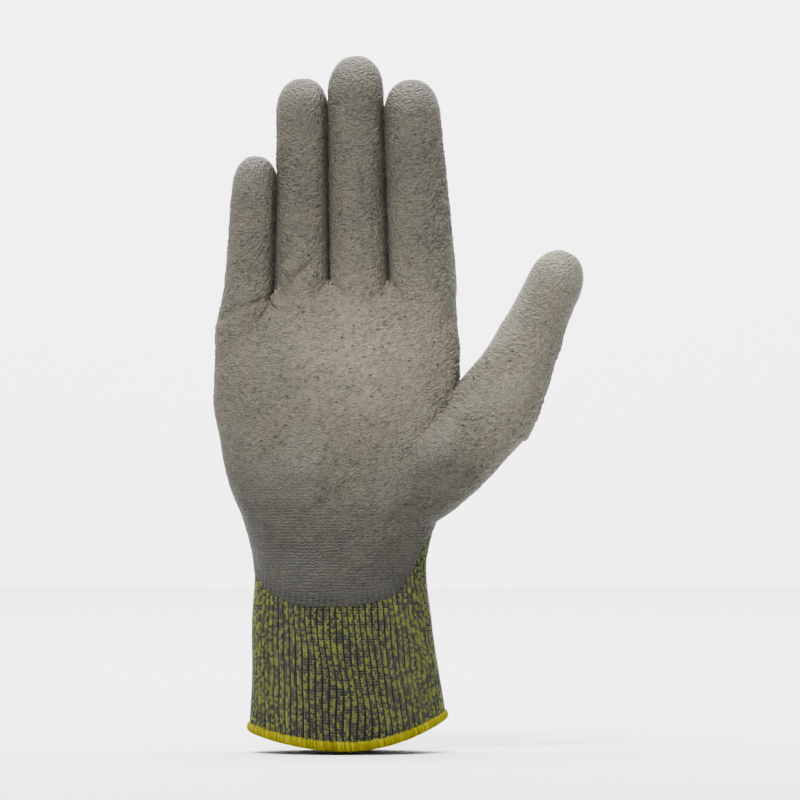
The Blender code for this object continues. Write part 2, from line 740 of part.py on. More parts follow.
little_z = WEB_Z - LITTLE_DROP
middle_finger = set_finger(MIDDLE, MIDDLE_X, WEB_Z, MIDDLE_LEAN)
index_finger = set_beside(INDEX, middle_finger, 1, WEB_Z, INDEX_GAPS)
ring_finger = set_beside(RING, middle_finger, -1, WEB_Z, RING_GAPS)
little_finger = set_beside(LITTLE, ring_finger, -1, little_z, LITTLE_GAPS)
FINGERS = [index_finger, middle_finger, ring_finger, little_finger]
THUMB = set_finger(THUMB_DIGIT, THUMB_X, WRIST_Z + THUMB_RISE, THUMB_LEAN, THUMB_TURN,
                   (THUMB_ROOT_BEND, THUMB_END_BEND))

wrist_joint = fold(WRIST_Z, 0.0, WRIST_BEND, WRIST_BEND)
make_cuff(wrist_joint)
make_wrist_band(wrist_joint)
hand_hinge = hinge_empty("wrist_hinge", Matrix.Translation((0, 0, WRIST_Z)))
make_palm(wrist_joint, hand_hinge)
for each in FINGERS + [THUMB]:
    make_finger(each, hand_hinge)
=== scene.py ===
# %% [markdown]
# # A cut resistant work glove
# This lesson builds the looks of one dipped, knitted glove around a imported CAD frame.
# The real glove is a seamless knitted shell. A foamed rubber coating is dipped onto the palm,
# the fingers and the fingertips, the back stays bare knit, a ribbed cuff grips the wrist,
# and an overlock thread closes the cuff's edge.
# The frame gives bodies, joints and boxes in metres. The hem's band and wraps ride on the cuff's body;
# the other pieces are shaped round the frame's joints and stay where they are made.

# %% Load the frame
import json
import math

import bmesh
import bpy
import numpy as np
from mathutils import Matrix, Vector
from mathutils.bvhtree import BVHTree

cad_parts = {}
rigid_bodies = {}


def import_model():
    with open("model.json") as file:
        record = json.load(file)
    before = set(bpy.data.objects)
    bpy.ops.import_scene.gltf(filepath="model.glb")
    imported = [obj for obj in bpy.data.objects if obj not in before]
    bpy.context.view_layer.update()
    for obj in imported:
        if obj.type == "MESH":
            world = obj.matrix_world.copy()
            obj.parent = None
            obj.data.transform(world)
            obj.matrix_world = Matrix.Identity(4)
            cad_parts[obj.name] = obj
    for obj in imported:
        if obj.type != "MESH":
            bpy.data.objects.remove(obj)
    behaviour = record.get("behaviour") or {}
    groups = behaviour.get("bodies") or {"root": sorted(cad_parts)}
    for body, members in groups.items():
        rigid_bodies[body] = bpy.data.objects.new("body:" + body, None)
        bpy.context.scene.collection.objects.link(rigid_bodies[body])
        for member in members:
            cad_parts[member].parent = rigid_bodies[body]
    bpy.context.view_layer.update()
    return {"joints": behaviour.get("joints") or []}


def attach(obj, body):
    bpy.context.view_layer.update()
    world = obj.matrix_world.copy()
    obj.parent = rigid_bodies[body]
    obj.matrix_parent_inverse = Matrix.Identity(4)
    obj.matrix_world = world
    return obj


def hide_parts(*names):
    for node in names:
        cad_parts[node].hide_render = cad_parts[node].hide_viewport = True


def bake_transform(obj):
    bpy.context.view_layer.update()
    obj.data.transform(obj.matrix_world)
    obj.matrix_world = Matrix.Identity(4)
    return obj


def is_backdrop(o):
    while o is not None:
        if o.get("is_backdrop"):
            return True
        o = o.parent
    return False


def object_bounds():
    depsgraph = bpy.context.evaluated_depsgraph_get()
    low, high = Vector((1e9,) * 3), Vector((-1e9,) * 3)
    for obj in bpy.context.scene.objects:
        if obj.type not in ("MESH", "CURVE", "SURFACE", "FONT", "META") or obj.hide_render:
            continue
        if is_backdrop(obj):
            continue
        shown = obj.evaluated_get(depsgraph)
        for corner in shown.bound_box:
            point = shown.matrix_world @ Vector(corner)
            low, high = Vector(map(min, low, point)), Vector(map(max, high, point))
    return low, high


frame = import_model()
MM = 0.001
JOINTS = {joint["name"]: joint for joint in frame["joints"]}

# %% [markdown]
# ## Small tools
# A repeatable noise is needed for bumps and colour. Blender has noise modifiers and textures,
# but the same values are wanted for the shape and for the colour, so the noise is a few lines of
# numpy: random numbers on a grid of cells, smoothly blended. The second one measures how far
# a point is from the nearest of many scattered points, which looks like packed grains.

# %% Noise, steps and selection
def step(t):
    """0 to 1 with soft ends."""
    t = np.clip(t, 0.0, 1.0)
    return t * t * (3 - 2 * t)


def mix(a, b, t):
    return a + (b - a) * t


def cell_random(cells, seed):
    """A number from 0 to 1 for each cell of a grid."""
    c = cells.astype(np.int64)
    h = (c[..., 0] * 73856093) ^ (c[..., 1] * 19349663) ^ (c[..., 2] * 83492791) ^ (seed * 2654435761)
    h &= 0xFFFFFFFF
    h = ((h ^ (h >> 15)) * 2246822519) & 0xFFFFFFFF
    h = ((h ^ (h >> 13)) * 3266489917) & 0xFFFFFFFF
    return ((h ^ (h >> 16)) & 0xFFFFFF) / float(0xFFFFFF)


def soft_noise(points, size, seed):
    """Smooth noise from -1 to 1 whose lumps are about `size` across."""
    q = points / size
    low = np.floor(q)
    t = step(q - low)
    total = 0.0
    for dx in (0, 1):
        for dy in (0, 1):
            for dz in (0, 1):
                corner = cell_random(low + np.array((dx, dy, dz)), seed)
                share = (t[:, 0] if dx else 1 - t[:, 0]) * (t[:, 1] if dy else 1 - t[:, 1])
                total = total + corner * share * (t[:, 2] if dz else 1 - t[:, 2])
    return total * 2 - 1


def grains(points, size, seed):
    """Distance to the nearest scattered grain, in grain sizes."""
    q = points / size
    low = np.floor(q)
    best = np.full(len(q), np.inf)
    for dx in (-1, 0, 1):
        for dy in (-1, 0, 1):
            for dz in (-1, 0, 1):
                cell = low + np.array((dx, dy, dz))
                spot = cell + np.stack([cell_random(cell, seed + k) for k in (1, 2, 3)], axis=-1)
                best = np.minimum(best, ((spot - q) ** 2).sum(axis=1))
    return np.sqrt(best)


def unit(rows):
    """The same directions, each one long."""
    return rows / np.maximum(np.linalg.norm(rows, axis=-1, keepdims=True), 1e-12)


def pick(*objs):
    """Selects these objects and nothing else; the first one is the active one."""
    for obj in bpy.context.view_layer.objects:
        obj.select_set(obj in objs)
    if objs:
        bpy.context.view_layer.objects.active = objs[0]


def add_object(name, data):
    obj = bpy.data.objects.new(name, data)
    bpy.context.scene.collection.objects.link(obj)
    return obj


def read(items, name, width, kind=float):
    """One value of each vertex, edge or face, as rows of `width` numbers."""
    values = np.empty(len(items) * width, kind)
    items.foreach_get(name, values)
    return values.reshape(-1, width)


def points_of(obj):
    return read(obj.data.vertices, "co", 3)


def put_points(obj, co):
    obj.data.vertices.foreach_set("co", np.asarray(co, np.float32).ravel())
    obj.data.update()


print("a soft step at 0.25 is", float(step(0.25)))

# %% [markdown]
# ## The sizes of hand and cuff
# The glove is drawn as it would be on a former, the hand-shaped mould on which it is dipped.
# A former is a stack of rounded sections, so the sizes are a short list of sections:
# height, left edge, right edge and half depth. A smooth curve runs through them.
# The joints of the frame say where the wrist is and where each finger starts.

# %% Sections of the former
WRIST_Z = JOINTS["wrist_bend"]["pos_m"][2]
WEB_Z = 168 * MM            # the crotches on both sides of the middle finger
WEB_DROP_X, WEB_DROP_SLOPE = -20 * MM, 0.75
HAND_Z = WEB_Z - WRIST_Z
SECTIONS = np.array([
    (0.0, -35.2, 35.6, 25.0),
    (WRIST_Z / MM * 0.29, -34.2, 33.2, 23.6),
    (WRIST_Z / MM * 0.65, -34.2, 30.4, 22.0),
    (WRIST_Z / MM, -33.4, 28.6, 20.6),
    ((WRIST_Z + 0.15 * HAND_Z) / MM, -36.4, 32.0, 18.6),
    ((WRIST_Z + 0.35 * HAND_Z) / MM, -42.2, 35.4, 16.0),
    ((WRIST_Z + 0.60 * HAND_Z) / MM, -46.0, 39.4, 14.2),
    ((WRIST_Z + 0.80 * HAND_Z) / MM, -47.2, 39.6, 12.4),
    ((WRIST_Z + 0.92 * HAND_Z) / MM, -44.6, 38.8, 8.8),
    (WEB_Z / MM, -43.4, 37.6, 4.0),
]) * MM
CUFF_ROUND, HAND_ROUND, FINGER_ROUND = 2.0, 2.5, 2.15       # 2 is an ellipse, more is squarer
ROUND_OVER = 40 * MM        # the cuff's outline turns into the hand's over this height
HEM_RISE, HEM_LEAN, HEM_RISE_END = 8.5 * MM, 2.2 * MM, 50 * MM
FORMER_OUT = 0.3 * MM       # the knit's face on the former


def curve_through(marks, values, at):
    """A smooth curve through values at rising marks."""
    slopes = np.gradient(values, marks)
    at = np.clip(at, marks[0], marks[-1])
    k = np.clip(np.searchsorted(marks, at) - 1, 0, len(marks) - 2)
    span = marks[k + 1] - marks[k]
    t = (at - marks[k]) / span
    start = values[k] * (2 * t**3 - 3 * t**2 + 1) + slopes[k] * span * (t**3 - 2 * t**2 + t)
    end = values[k + 1] * (3 * t**2 - 2 * t**3) + slopes[k + 1] * span * (t**3 - t**2)
    return start + end


def section(z):
    """Middle x, half width and half depth of the hand at height z."""
    left, right, deep = (curve_through(SECTIONS[:, 0], SECTIONS[:, k], z) for k in (1, 2, 3))
    return (left + right) / 2, (right - left) / 2, deep


def oval(angle, half_x, half_y, power):
    """A rounded outline; angle 0 is +X and a quarter turn is +Y, the back of the hand."""
    c, s = np.cos(angle), np.sin(angle)
    x = half_x * np.sign(c) * np.abs(c) ** (2 / power)
    y = half_y * np.sign(s) * np.abs(s) ** (2 / power)
    return x, y


def outline_power(z):
    return mix(CUFF_ROUND, HAND_ROUND, step((z - WRIST_Z) / ROUND_OVER))


def hand_points(z, angle, out):
    """Places on the hand's outline at height z, `out` outside the former."""
    middle, wide, deep = section(z)
    x, y = oval(angle, wide + out, deep + out, outline_power(z))
    return np.stack([middle + x, y, z + 0 * x], axis=-1)


def hem_lift(x, z):
    """The mouth's edge rises from the middle to both sides."""
    side = x / SECTIONS[0, 2]
    return (HEM_RISE * side**2 + HEM_LEAN * side * np.abs(side)) * (1 - step(z / HEM_RISE_END))


def web_top(x):
    """The height of the crotches: lower towards the little finger."""
    return WEB_Z - WEB_DROP_SLOPE * np.maximum(0.0, WEB_DROP_X - x)


print("wrist width in mm", round(2 * float(section(WRIST_Z)[1]) / MM, 1))

# %% [markdown]
# ## The sizes of the fingers
# Each finger is a tube along its own line. The frame's joints give that line: it starts a little
# below the first joint and runs to the last one. Only the widths and the length past the last
# joint are sizes of this glove's maker.

# %% Fingers and thumb
HINGE_PALMWARD = 2 * MM     # the joints lie this far in front of a finger's middle
DOME, DOME_ROUND = 1.45 / 2, 2.15       # length of the rounded end in tip widths, and its outline
SUNK_SHARE = 0.66           # how slim the root is where it runs down into the hand


class Digit:
    """One finger or the thumb. Widths, knuckle, tip, splits and blends are in millimetres."""

    def __init__(self, name, root_w, tip_w, depth, knuckle, tip, joints, splits, blends):
        ends = [JOINTS[f"{name}_{part}_bend"] for part in (joints[0], joints[-1])]
        first, last = (Vector(joint["pos_m"]) for joint in ends)
        self.name, self.depth, self.joints = name, depth, joints
        self.splits, self.blends = splits, blends
        self.axis = unit(np.array(ends[0]["axis"], float))
        self.along = np.array((last - first).normalized())
        self.back = unit(np.cross(self.along, self.axis))
        self.start = np.array(first) + self.back * HINGE_PALMWARD - self.along * knuckle * MM
        self.root_w, self.tip_w = root_w * MM, tip_w * MM
        self.length = (last - first).length + (knuckle + tip) * MM

    def place(self, x, y, s):
        """Row frame points from places across, behind and along the finger."""
        x, y, s = np.broadcast_arrays(x, y, s)
        return self.start + x[..., None] * self.axis + y[..., None] * self.back + s[..., None] * self.along

    def local(self, points):
        q = points - self.start
        return q @ self.axis, q @ self.back, q @ self.along

    def halves(self, s):
        """Half width and half depth at s along the finger, with the rounded end."""
        dome = DOME * self.tip_w
        straight = self.length - dome
        wide = mix(self.root_w, self.tip_w, step(s / straight)) / 2
        rise = np.clip((s - straight) / (dome + FORMER_OUT), 0.0, 1.0)
        sunk = np.clip((-s - 4 * MM) / (26 * MM), 0.0, 1.0)
        share = (1 - rise**DOME_ROUND) ** (1 / DOME_ROUND) * mix(1.0, SUNK_SHARE, sunk)
        return (wide + FORMER_OUT) * share, (wide * self.depth + FORMER_OUT) * share


THREE = ("base", "middle", "tip")
DIGITS = [
    Digit("index", 21.8, 18.3, 0.96, 6, 23.5, THREE, (3.0, 14.2, 39.9), (10.0, 22.0, 13.8)),
    Digit("middle", 19.0, 17.4, 0.98, 6, 25.5, THREE, (3.0, 16.0, 44.0), (10.0, 19.6, 12.8)),
    Digit("ring", 16.4, 15.6, 1.0, 6, 23.5, THREE, (3.0, 15.2, 40.0), (10.0, 16.8, 11.2)),
    Digit("little", 15.6, 14.2, 1.0, 5, 18.0, THREE, (2.0, 10.0, 27.8), (8.0, 15.7, 10.6)),
    Digit("thumb", 27.2, 18.8, 0.96, 10, 29.0, ("base", "tip"), (3.5, 20.0), (13.0, 16.6)),
]
THUMB = DIGITS[-1]
for digit in DIGITS:
    print(digit.name, "length in mm", round(digit.length / MM, 1))

# %% [markdown]
# ## One skin for the whole hand
# A glove's knit runs from the cuff into every finger without a seam. Modelling palm and fingers
# as one extruded cage is possible, but the crotches and the ball of the thumb are hard to keep
# even. Here plain cylinders are added and cut into rings, each ring is moved onto its section of
# the former, and a voxel remesh melts the overlapping tubes into one skin.

# %% Tubes on the former
def ringed_cylinder(name, sides, rings):
    """A cylinder of height 1 and radius 1, cut into rings, with a fan at each end."""
    pick()
    bpy.ops.mesh.primitive_cylinder_add(vertices=sides, radius=1, depth=1, end_fill_type="TRIFAN")
    obj = bpy.context.object
    obj.name = name
    bpy.ops.object.mode_set(mode="EDIT")
    bpy.ops.mesh.select_all(action="DESELECT")
    bpy.ops.mesh.select_mode(type="EDGE")
    bm = bmesh.from_edit_mesh(obj.data)
    for edge in bm.edges:
        a, b = (v.co for v in edge.verts)
        edge.select_set(abs(a.z - b.z) > 0.5)
    bmesh.update_edit_mesh(obj.data)
    bpy.ops.mesh.subdivide(number_cuts=rings - 1)
    bpy.ops.object.mode_set(mode="OBJECT")
    return obj


def shape_tube(obj, place):
    """Moves each vertex to place(share of the height, angle, share of the radius)."""
    co = points_of(obj)
    t = np.clip(co[:, 2] + 0.5, 0.0, 1.0)
    radius = np.minimum(np.hypot(co[:, 0], co[:, 1]), 1.0)
    put_points(obj, place(t, np.arctan2(co[:, 1], co[:, 0]), np.where(radius > 0.5, 1.0, 0.0)))
    return obj


BASE_LOW = 44 * MM          # the remeshed skin starts here, below the coating's lower edge


def hand_shape(t, angle, full):
    """The hand from below the wrist up to the crotches, whose line is slanted."""
    level = mix(BASE_LOW, WEB_Z, t)
    spot = hand_points(level, angle, FORMER_OUT)
    middle = section(level)[0]
    spot[:, 0] = mix(middle, spot[:, 0], full)
    spot[:, 1] *= full
    spot[:, 2] = mix(BASE_LOW, web_top(spot[:, 0]), t)
    return spot


def digit_shape(digit, low):
    """A finger's tube from `low` to its end; the rings lie closer together towards the tip."""
    def place(t, angle, full):
        s = low + (digit.length - low) * np.sin(t * math.pi / 2)
        wide, deep = digit.halves(s)
        x, y = oval(angle, wide, deep, FINGER_ROUND)
        return digit.place(x * full, y * full, s)
    return place


tubes = [shape_tube(ringed_cylinder("hand_form", 96, 90), hand_shape)]
for digit in DIGITS:
    low = -6 * MM if digit is THUMB else -30 * MM
    tubes.append(shape_tube(ringed_cylinder(f"{digit.name}_form", 40, 90), digit_shape(digit, low)))
print("tubes", len(tubes))

# %% [markdown]
# The ball of the thumb is a fat muscle that leaves the palm and runs into the thumb. It is
# one more tube, bent along a path: the middle and half width of a few sections are named, and the
# rest is smooth between them.

# %% The ball of the thumb
BALL = np.array([            # middle x, height above the wrist, middle y, half width
    (10.0, 11.0, -3.0, 7.0),
    (22.0, 21.0, -4.0, 12.0),
    (34.0, 32.0, -4.5, 14.0),
    (45.5, 43.0, -2.5, 13.6),
]) * MM
BALL_WEB = (1.0, 1.0, 1.05, 1.15, 1.25, 1.0)     # how far each section reaches towards the palm


def ball_shape(t, angle, full):
    """A tube along the path from the palm through the ball into the thumb's root."""
    root, past = THUMB.start, THUMB.place(0.0, 0.0, 16 * MM)
    path = [np.array((x, y, WRIST_Z + rise)) for x, rise, y, _ in BALL] + [root, past]
    wide = list(BALL[:, 3]) + [THUMB.halves(s)[0] - FORMER_OUT for s in (0.0, 16 * MM)]
    marks, path = np.arange(len(path), dtype=float), np.array(path)
    at = t * marks[-1]

    def on_path(at):
        return np.stack([curve_through(marks, path[:, k], at) for k in range(3)], axis=-1)

    here = on_path(at)
    along = mix(unit(on_path(at + 0.05) - on_path(at - 0.05)), THUMB.along, step(t)[:, None])
    side = unit(np.cross(np.array((0.0, 1.0, 0.0)), along))
    deep = unit(np.cross(along, side))
    half = curve_through(marks, np.array(wide), at) + FORMER_OUT
    x, y = oval(angle, half, half * THUMB.depth, FINGER_ROUND)
    x = np.where(x < 0, x * curve_through(marks, np.array(BALL_WEB), at), x)
    return here + side * (x * full)[:, None] + deep * (y * full)[:, None]


tubes.append(shape_tube(ringed_cylinder("ball_form", 40, 40), ball_shape))
print("ball of the thumb reaches x in mm", round(points_of(tubes[-1])[:, 0].max() / MM, 1))

# %% Melt the tubes into one skin
VOXEL = 0.5 * MM
pick(*tubes)
bpy.ops.object.join()
skin = bpy.context.object
melt = skin.modifiers.new("melt", "REMESH")
melt.mode, melt.voxel_size, melt.adaptivity = "VOXEL", VOXEL, 0.0
bpy.ops.object.modifier_apply(modifier=melt.name)
relax = skin.modifiers.new("relax", "SMOOTH")
relax.factor, relax.iterations = 0.5, 14
bpy.ops.object.modifier_apply(modifier=relax.name)
bpy.ops.object.mode_set(mode="EDIT")
bpy.ops.mesh.select_all(action="SELECT")
bpy.ops.mesh.normals_make_consistent(inside=False)
bpy.ops.mesh.quads_convert_to_tris(quad_method="SHORTEST_DIAGONAL")
bpy.ops.object.mode_set(mode="OBJECT")
print("skin vertices", len(skin.data.vertices), "faces", len(skin.data.polygons))

# %% [markdown]
# ## Where the coating ends
# The glove is dipped palm first, so the coating covers the palm side, wraps a little behind the
# sides of hand and fingers and closes round each fingertip. Its lower edge sags in a curve above
# the cuff. A field says how far, in metres, each point lies inside the coating. Vertices close to
# its zero line are slid onto it, so that the edge is a clean line and not a staircase of faces.

# %% The coating's field
EDGE_WRAP = math.radians(26)    # the coating goes this far round behind a finger's side
THIMBLE = 15 * MM               # and covers the last stretch of each finger all round
DIGIT_REACH = 14 * MM           # a finger's own edge takes over from the hand's across this stretch
DIGIT_NEAR = 1.36               # points within this many half widths belong to a finger
FILM_EDGE = np.array([       # the lower edge in front: x and height
    (-36, 66), (-33, 62.5), (-29, 57.2), (-23, 53.8), (-17.5, 52.2), (-8, 51.4), (1, 51.4), (8, 52.2),
    (14.3, 54.2), (19.6, 58), (23.3, 63.5), (25.5, 68.5), (28, 74.5), (31, 79), (36, 81),
]) * MM


def film_field(points):
    """How far inside the coating's edge each point is, and the digit and place along it."""
    middle, wide, deep = section(np.clip(points[:, 2], 0, WEB_Z))
    side_y = np.maximum(deep, 10.5 * MM) * math.sin(EDGE_WRAP) ** (2 / HAND_ROUND) * 0.9
    wobble = 0.5 * MM * soft_noise(points, 9 * MM, 5) + 0.2 * MM * soft_noise(points, 2.4 * MM, 6)
    side = side_y - points[:, 1]
    lower = (points[:, 2] - np.interp(points[:, 0], FILM_EDGE[:, 0], FILM_EDGE[:, 1])) * 0.9
    field = np.minimum(side, lower)
    digit_of = np.full(len(points), -1)
    along_of = np.full(len(points), -1.0)
    nearest = np.full(len(points), DIGIT_NEAR)
    for k, digit in enumerate(DIGITS):
        x, y, s = digit.local(points)
        wide, deep = digit.halves(np.clip(s, 0, digit.length - 9 * MM))
        radius = ((np.abs(x) / wide) ** 2 + (np.abs(y) / deep) ** 2) ** 0.5
        mine = (s > -DIGIT_REACH) & (radius < nearest)
        nearest = np.where(mine, radius, nearest)
        behind = np.arctan2(y / deep, np.abs(x) / wide)
        own = np.maximum((EDGE_WRAP - behind) * wide, s - (digit.length - THIMBLE))
        share = step((s + DIGIT_REACH) / (DIGIT_REACH + 3 * MM))
        field = np.where(mine, mix(np.minimum(side, lower), own, share), field)
        digit_of = np.where(mine, k, digit_of)
        along_of = np.where(mine, s, along_of)
    return field + wobble, digit_of, along_of


def slide_to_zero(co, edges, field):
    """Moves vertices next to the field's zero line onto it, and returns the settled field."""
    a, b = edges[:, 0], edges[:, 1]
    crossing = np.nonzero(field[a] * field[b] < 0)[0]
    a, b = a[crossing], b[crossing]
    t = field[a] / (field[a] - field[b])
    spot = co[a] + (co[b] - co[a]) * t[:, None]
    mover = np.where(t < 0.5, a, b)
    cost = np.minimum(t, 1 - t)
    order = np.argsort(-cost, kind="stable")
    co, field = co.copy(), field.copy()
    co[mover[order]] = spot[order]
    field[mover] = 0.0
    return co, field


co = points_of(skin)
edges = read(skin.data.edges, "vertices", 2, np.int64)
faces = read(skin.data.polygons, "vertices", 3, np.int64)
co, _ = slide_to_zero(co, edges, film_field(co)[0])
film, digit_of, along_of = film_field(co)
print("coated share of the skin", round(float((film > 0).mean()), 2))

# %% [markdown]
# Cloth that crosses a joint bends over a short stretch. A piece can bend over one joint only, so
# each finger's skin is parted between its joints, where both sides are stiff and the parting
# can't open.

# %% Part the skin between the joints
zone = np.zeros(len(faces), int)            # 0 is the hand, then 10 * digit + stretch
for k, digit in enumerate(DIGITS):
    for split in digit.splits:
        co, _ = slide_to_zero(co, edges, np.where(digit_of == k, along_of - split * MM, -1.0))
film, digit_of, along_of = film_field(co)
middle_of_face = co[faces].mean(axis=1)
_, face_digit, face_along = film_field(middle_of_face)
for k, digit in enumerate(DIGITS):
    for stretch, split in enumerate(digit.splits, 1):
        zone[(face_digit == k) & (face_along > split * MM)] = 10 * (k + 1) + stretch
face_film = film[faces].sum(axis=1) > 0
put_points(skin, co)
zones = sorted(set(zone.tolist()))
print("zones", zones)

# %% [markdown]
# ## Wales and courses
# A knitter counts wales, the columns of loops, and courses, its rows. A ring round the hand is
# shared out evenly among the wales, so a table of ring lengths turns a wale's number into an
# angle and an angle back into a wale's number.

# %% Counting round the hand
RIBS = 78
COURSE_H = 1.05 * MM
levels = np.linspace(-4 * MM, WEB_Z, 120)
turns = np.linspace(0, 2 * math.pi, 721)
ring_table = np.stack([hand_points(np.full(len(turns), z), turns, 0.0) for z in levels])
lengths = np.linalg.norm(np.diff(ring_table, axis=1), axis=2).cumsum(axis=1)
lengths = np.concatenate([np.zeros((len(levels), 1)), lengths], axis=1)
shares = lengths / lengths[:, -1:]


def by_level(value, z, from_rows, to_rows):
    """Looks value up between two rows of a table that is stacked by height."""
    row = np.clip((z - levels[0]) / (levels[1] - levels[0]), 0, len(levels) - 1.001)
    low = row.astype(int)
    found = np.empty(len(value))
    for k in np.unique(low):
        here = low == k
        a = np.interp(value[here], from_rows(k), to_rows(k))
        b = np.interp(value[here], from_rows(k + 1), to_rows(k + 1))
        found[here] = mix(a, b, row[here] - k)
    return found


def angle_at(share, z):
    """The angle at which a share of the ring's length has been passed, from the thumb side."""
    return by_level(np.mod(share, 1.0), z, lambda k: shares[k], lambda k: turns)


def wale_of(points, count):
    """The wale, counted from the thumb side, on which each point of cuff or hand lies."""
    middle, wide, deep = section(np.clip(points[:, 2], levels[0], WEB_Z))
    power = outline_power(points[:, 2]) / 2
    x, y = (points[:, 0] - middle) / wide, points[:, 1] / deep
    angle = np.arctan2(np.sign(y) * np.abs(y) ** power, np.sign(x) * np.abs(x) ** power)
    return by_level(np.mod(angle, 2 * math.pi), points[:, 2], lambda k: turns, lambda k: shares[k]) * count


print("rings measured", len(levels))

# %% [markdown]
# ## The worn, hand-filled shape
# A real glove isn't a smooth mould. The coating is thick, the cloth under it pulls into soft
# folds at the finger roots and above the wrist, and foam dries into packed grains with small
# pits. These are moved into the mesh along its normals, from the largest to the smallest.

# %% Folds, coating and grains
FOLDS = [   # start x, start z, end x, end z, half width, depth: on the palm side
    (-46.0, 153.0, -28.5, 162.5, 1.3, 1.1),
    (-24.5, 160.0, -12.0, 176.0, 1.6, 1.5),
    (-20.0, 168.0, -13.5, 178.5, 2.2, -0.5),
    (-27.0, 163.0, -18.5, 176.5, 2.0, -1.0),
    (52.0, 128.0, 58.5, 137.0, 2.2, 0.9),
    (71.0, 139.5, 78.0, 136.0, 1.4, 1.0),
    (-14.0, 83.5, 5.0, 97.5, 2.4, 1.0),
    (5.0, 97.5, 22.0, 104.0, 2.4, 0.3),
    (14.0, 82.0, 30.0, 90.5, 2.4, 1.1),
    (-30.0, 88.0, -8.0, 96.0, 3.0, 0.35),
    (11.0, 173.0, 17.5, 166.0, 1.6, 0.5),
    (16.5, 176.5, 25.0, 171.5, 1.8, 0.45),
    (-36.0, 70.0, -20.0, 78.0, 2.6, 0.3),
]


def fold_depth(points):
    """How deep the pulled folds are at each point."""
    total = np.zeros(len(points))
    flat = points[:, (0, 2)]
    for x0, z0, x1, z1, half, depth in FOLDS:
        a, run = np.array((x0, z0)) * MM, np.array((x1 - x0, z1 - z0)) * MM
        t = np.clip(((flat - a) @ run) / (run @ run), 0, 1)
        bend = 0.06 * np.sin(t * math.pi)[:, None] * np.array((-run[1], run[0]))
        far = np.linalg.norm(flat - a - t[:, None] * run - bend, axis=1)
        ends = step(t / 0.25) * step((1 - t) / 0.25) * 0.8 + 0.2
        total += depth * MM * ends * np.exp(-((far / (half * MM)) ** 2))
    return total


def smooth_places(points, along, digit_index):
    """1 where the foam is rubbed smooth: fingertips and a few patches."""
    patch = step((soft_noise(points, 16 * MM, 31) - 0.15) / 0.35)
    tip = np.zeros(len(points))
    for k, digit in enumerate(DIGITS):
        near = step((along - (digit.length - 16 * MM)) / (9 * MM))
        tip = np.maximum(tip, np.where(digit_index == k, near, 0))
        if digit is THUMB:          # its side towards the hand is rubbed too
            inner = (-digit.local(points)[0] - 1 * MM) / (5 * MM)
            left = step(inner) * step((along - 14 * MM) / (10 * MM))
            tip = np.maximum(tip, np.where(digit_index == k, left, 0))
    return np.maximum(tip * 0.85, patch * 0.6)


FILM_THICK, FILM_THIN = 0.42 * MM, 0.30 * MM
GRAIN_DEEP, GRAIN_WORN = 0.52 * MM, 0.09 * MM
GROOVE_DEEP = 0.34 * MM
normals = read(skin.data.vertices, "normal", 3)
coated = step((film + 0.25 * MM) / (1.0 * MM))
palm_side = step((-normals[:, 1] + 0.2) / 0.5)
worn = smooth_places(co, along_of, digit_of)
thin = 1 - step((co[:, 2] - (70 * MM - co[:, 0] * 0.25)) / (34 * MM))   # thin just above the cuff
flat_grain = co * (0.78, 1.0, 1.2)                        # the grains are wider than tall
drift = np.stack([soft_noise(co, 3 * MM, 50 + k) for k in range(3)], axis=-1) * 0.5 * MM
first = grains(flat_grain + drift, 1.45 * MM, 40)
second = grains(flat_grain, 1.15 * MM, 60)
grain = (0.60 - first) * 0.9 + (0.58 - second) * 0.45 + 0.3 * soft_noise(co, 1.4 * MM, 70)
rough_patch = mix(0.7, 1.25, step(soft_noise(co, 13 * MM, 71) * 0.8 + 0.5))
grain_depth = mix(GRAIN_DEEP, GRAIN_WORN, worn) * mix(1.0, 0.2, thin) * rough_patch
wale = wale_of(co, RIBS)
groove = np.abs(np.cos(math.pi * wale)) ** 4              # 1 between two ribs
rib_show = 1 - step((film - 0.5 * MM) / (5 * MM))
rib_show = rib_show * (1 - step((co[:, 2] - 60 * MM) / (16 * MM)))
lumps = 0.30 * MM * soft_noise(co, 11 * MM, 90) + 0.16 * MM * soft_noise(co, 5 * MM, 91)
rise = coated * (mix(FILM_THICK, FILM_THIN, thin) + grain * grain_depth - groove * rib_show * GROOVE_DEEP)
rise += lumps * step((co[:, 2] - 66 * MM) / (20 * MM)) - fold_depth(co) * palm_side
print("grain from", round(float(grain.min()), 2), "to", round(float(grain.max()), 2))

# %% [markdown]
# The tubes of neighbouring fingers stand a little apart, but in a filled glove they press on
# each other. So each side is moved out towards its neighbour, by half of what a ray measures
# between the two, until only a narrow gap is left. The gap is crooked, so no light comes through.
# The sides without a neighbour and the heel of the hand fill out by a little as well.

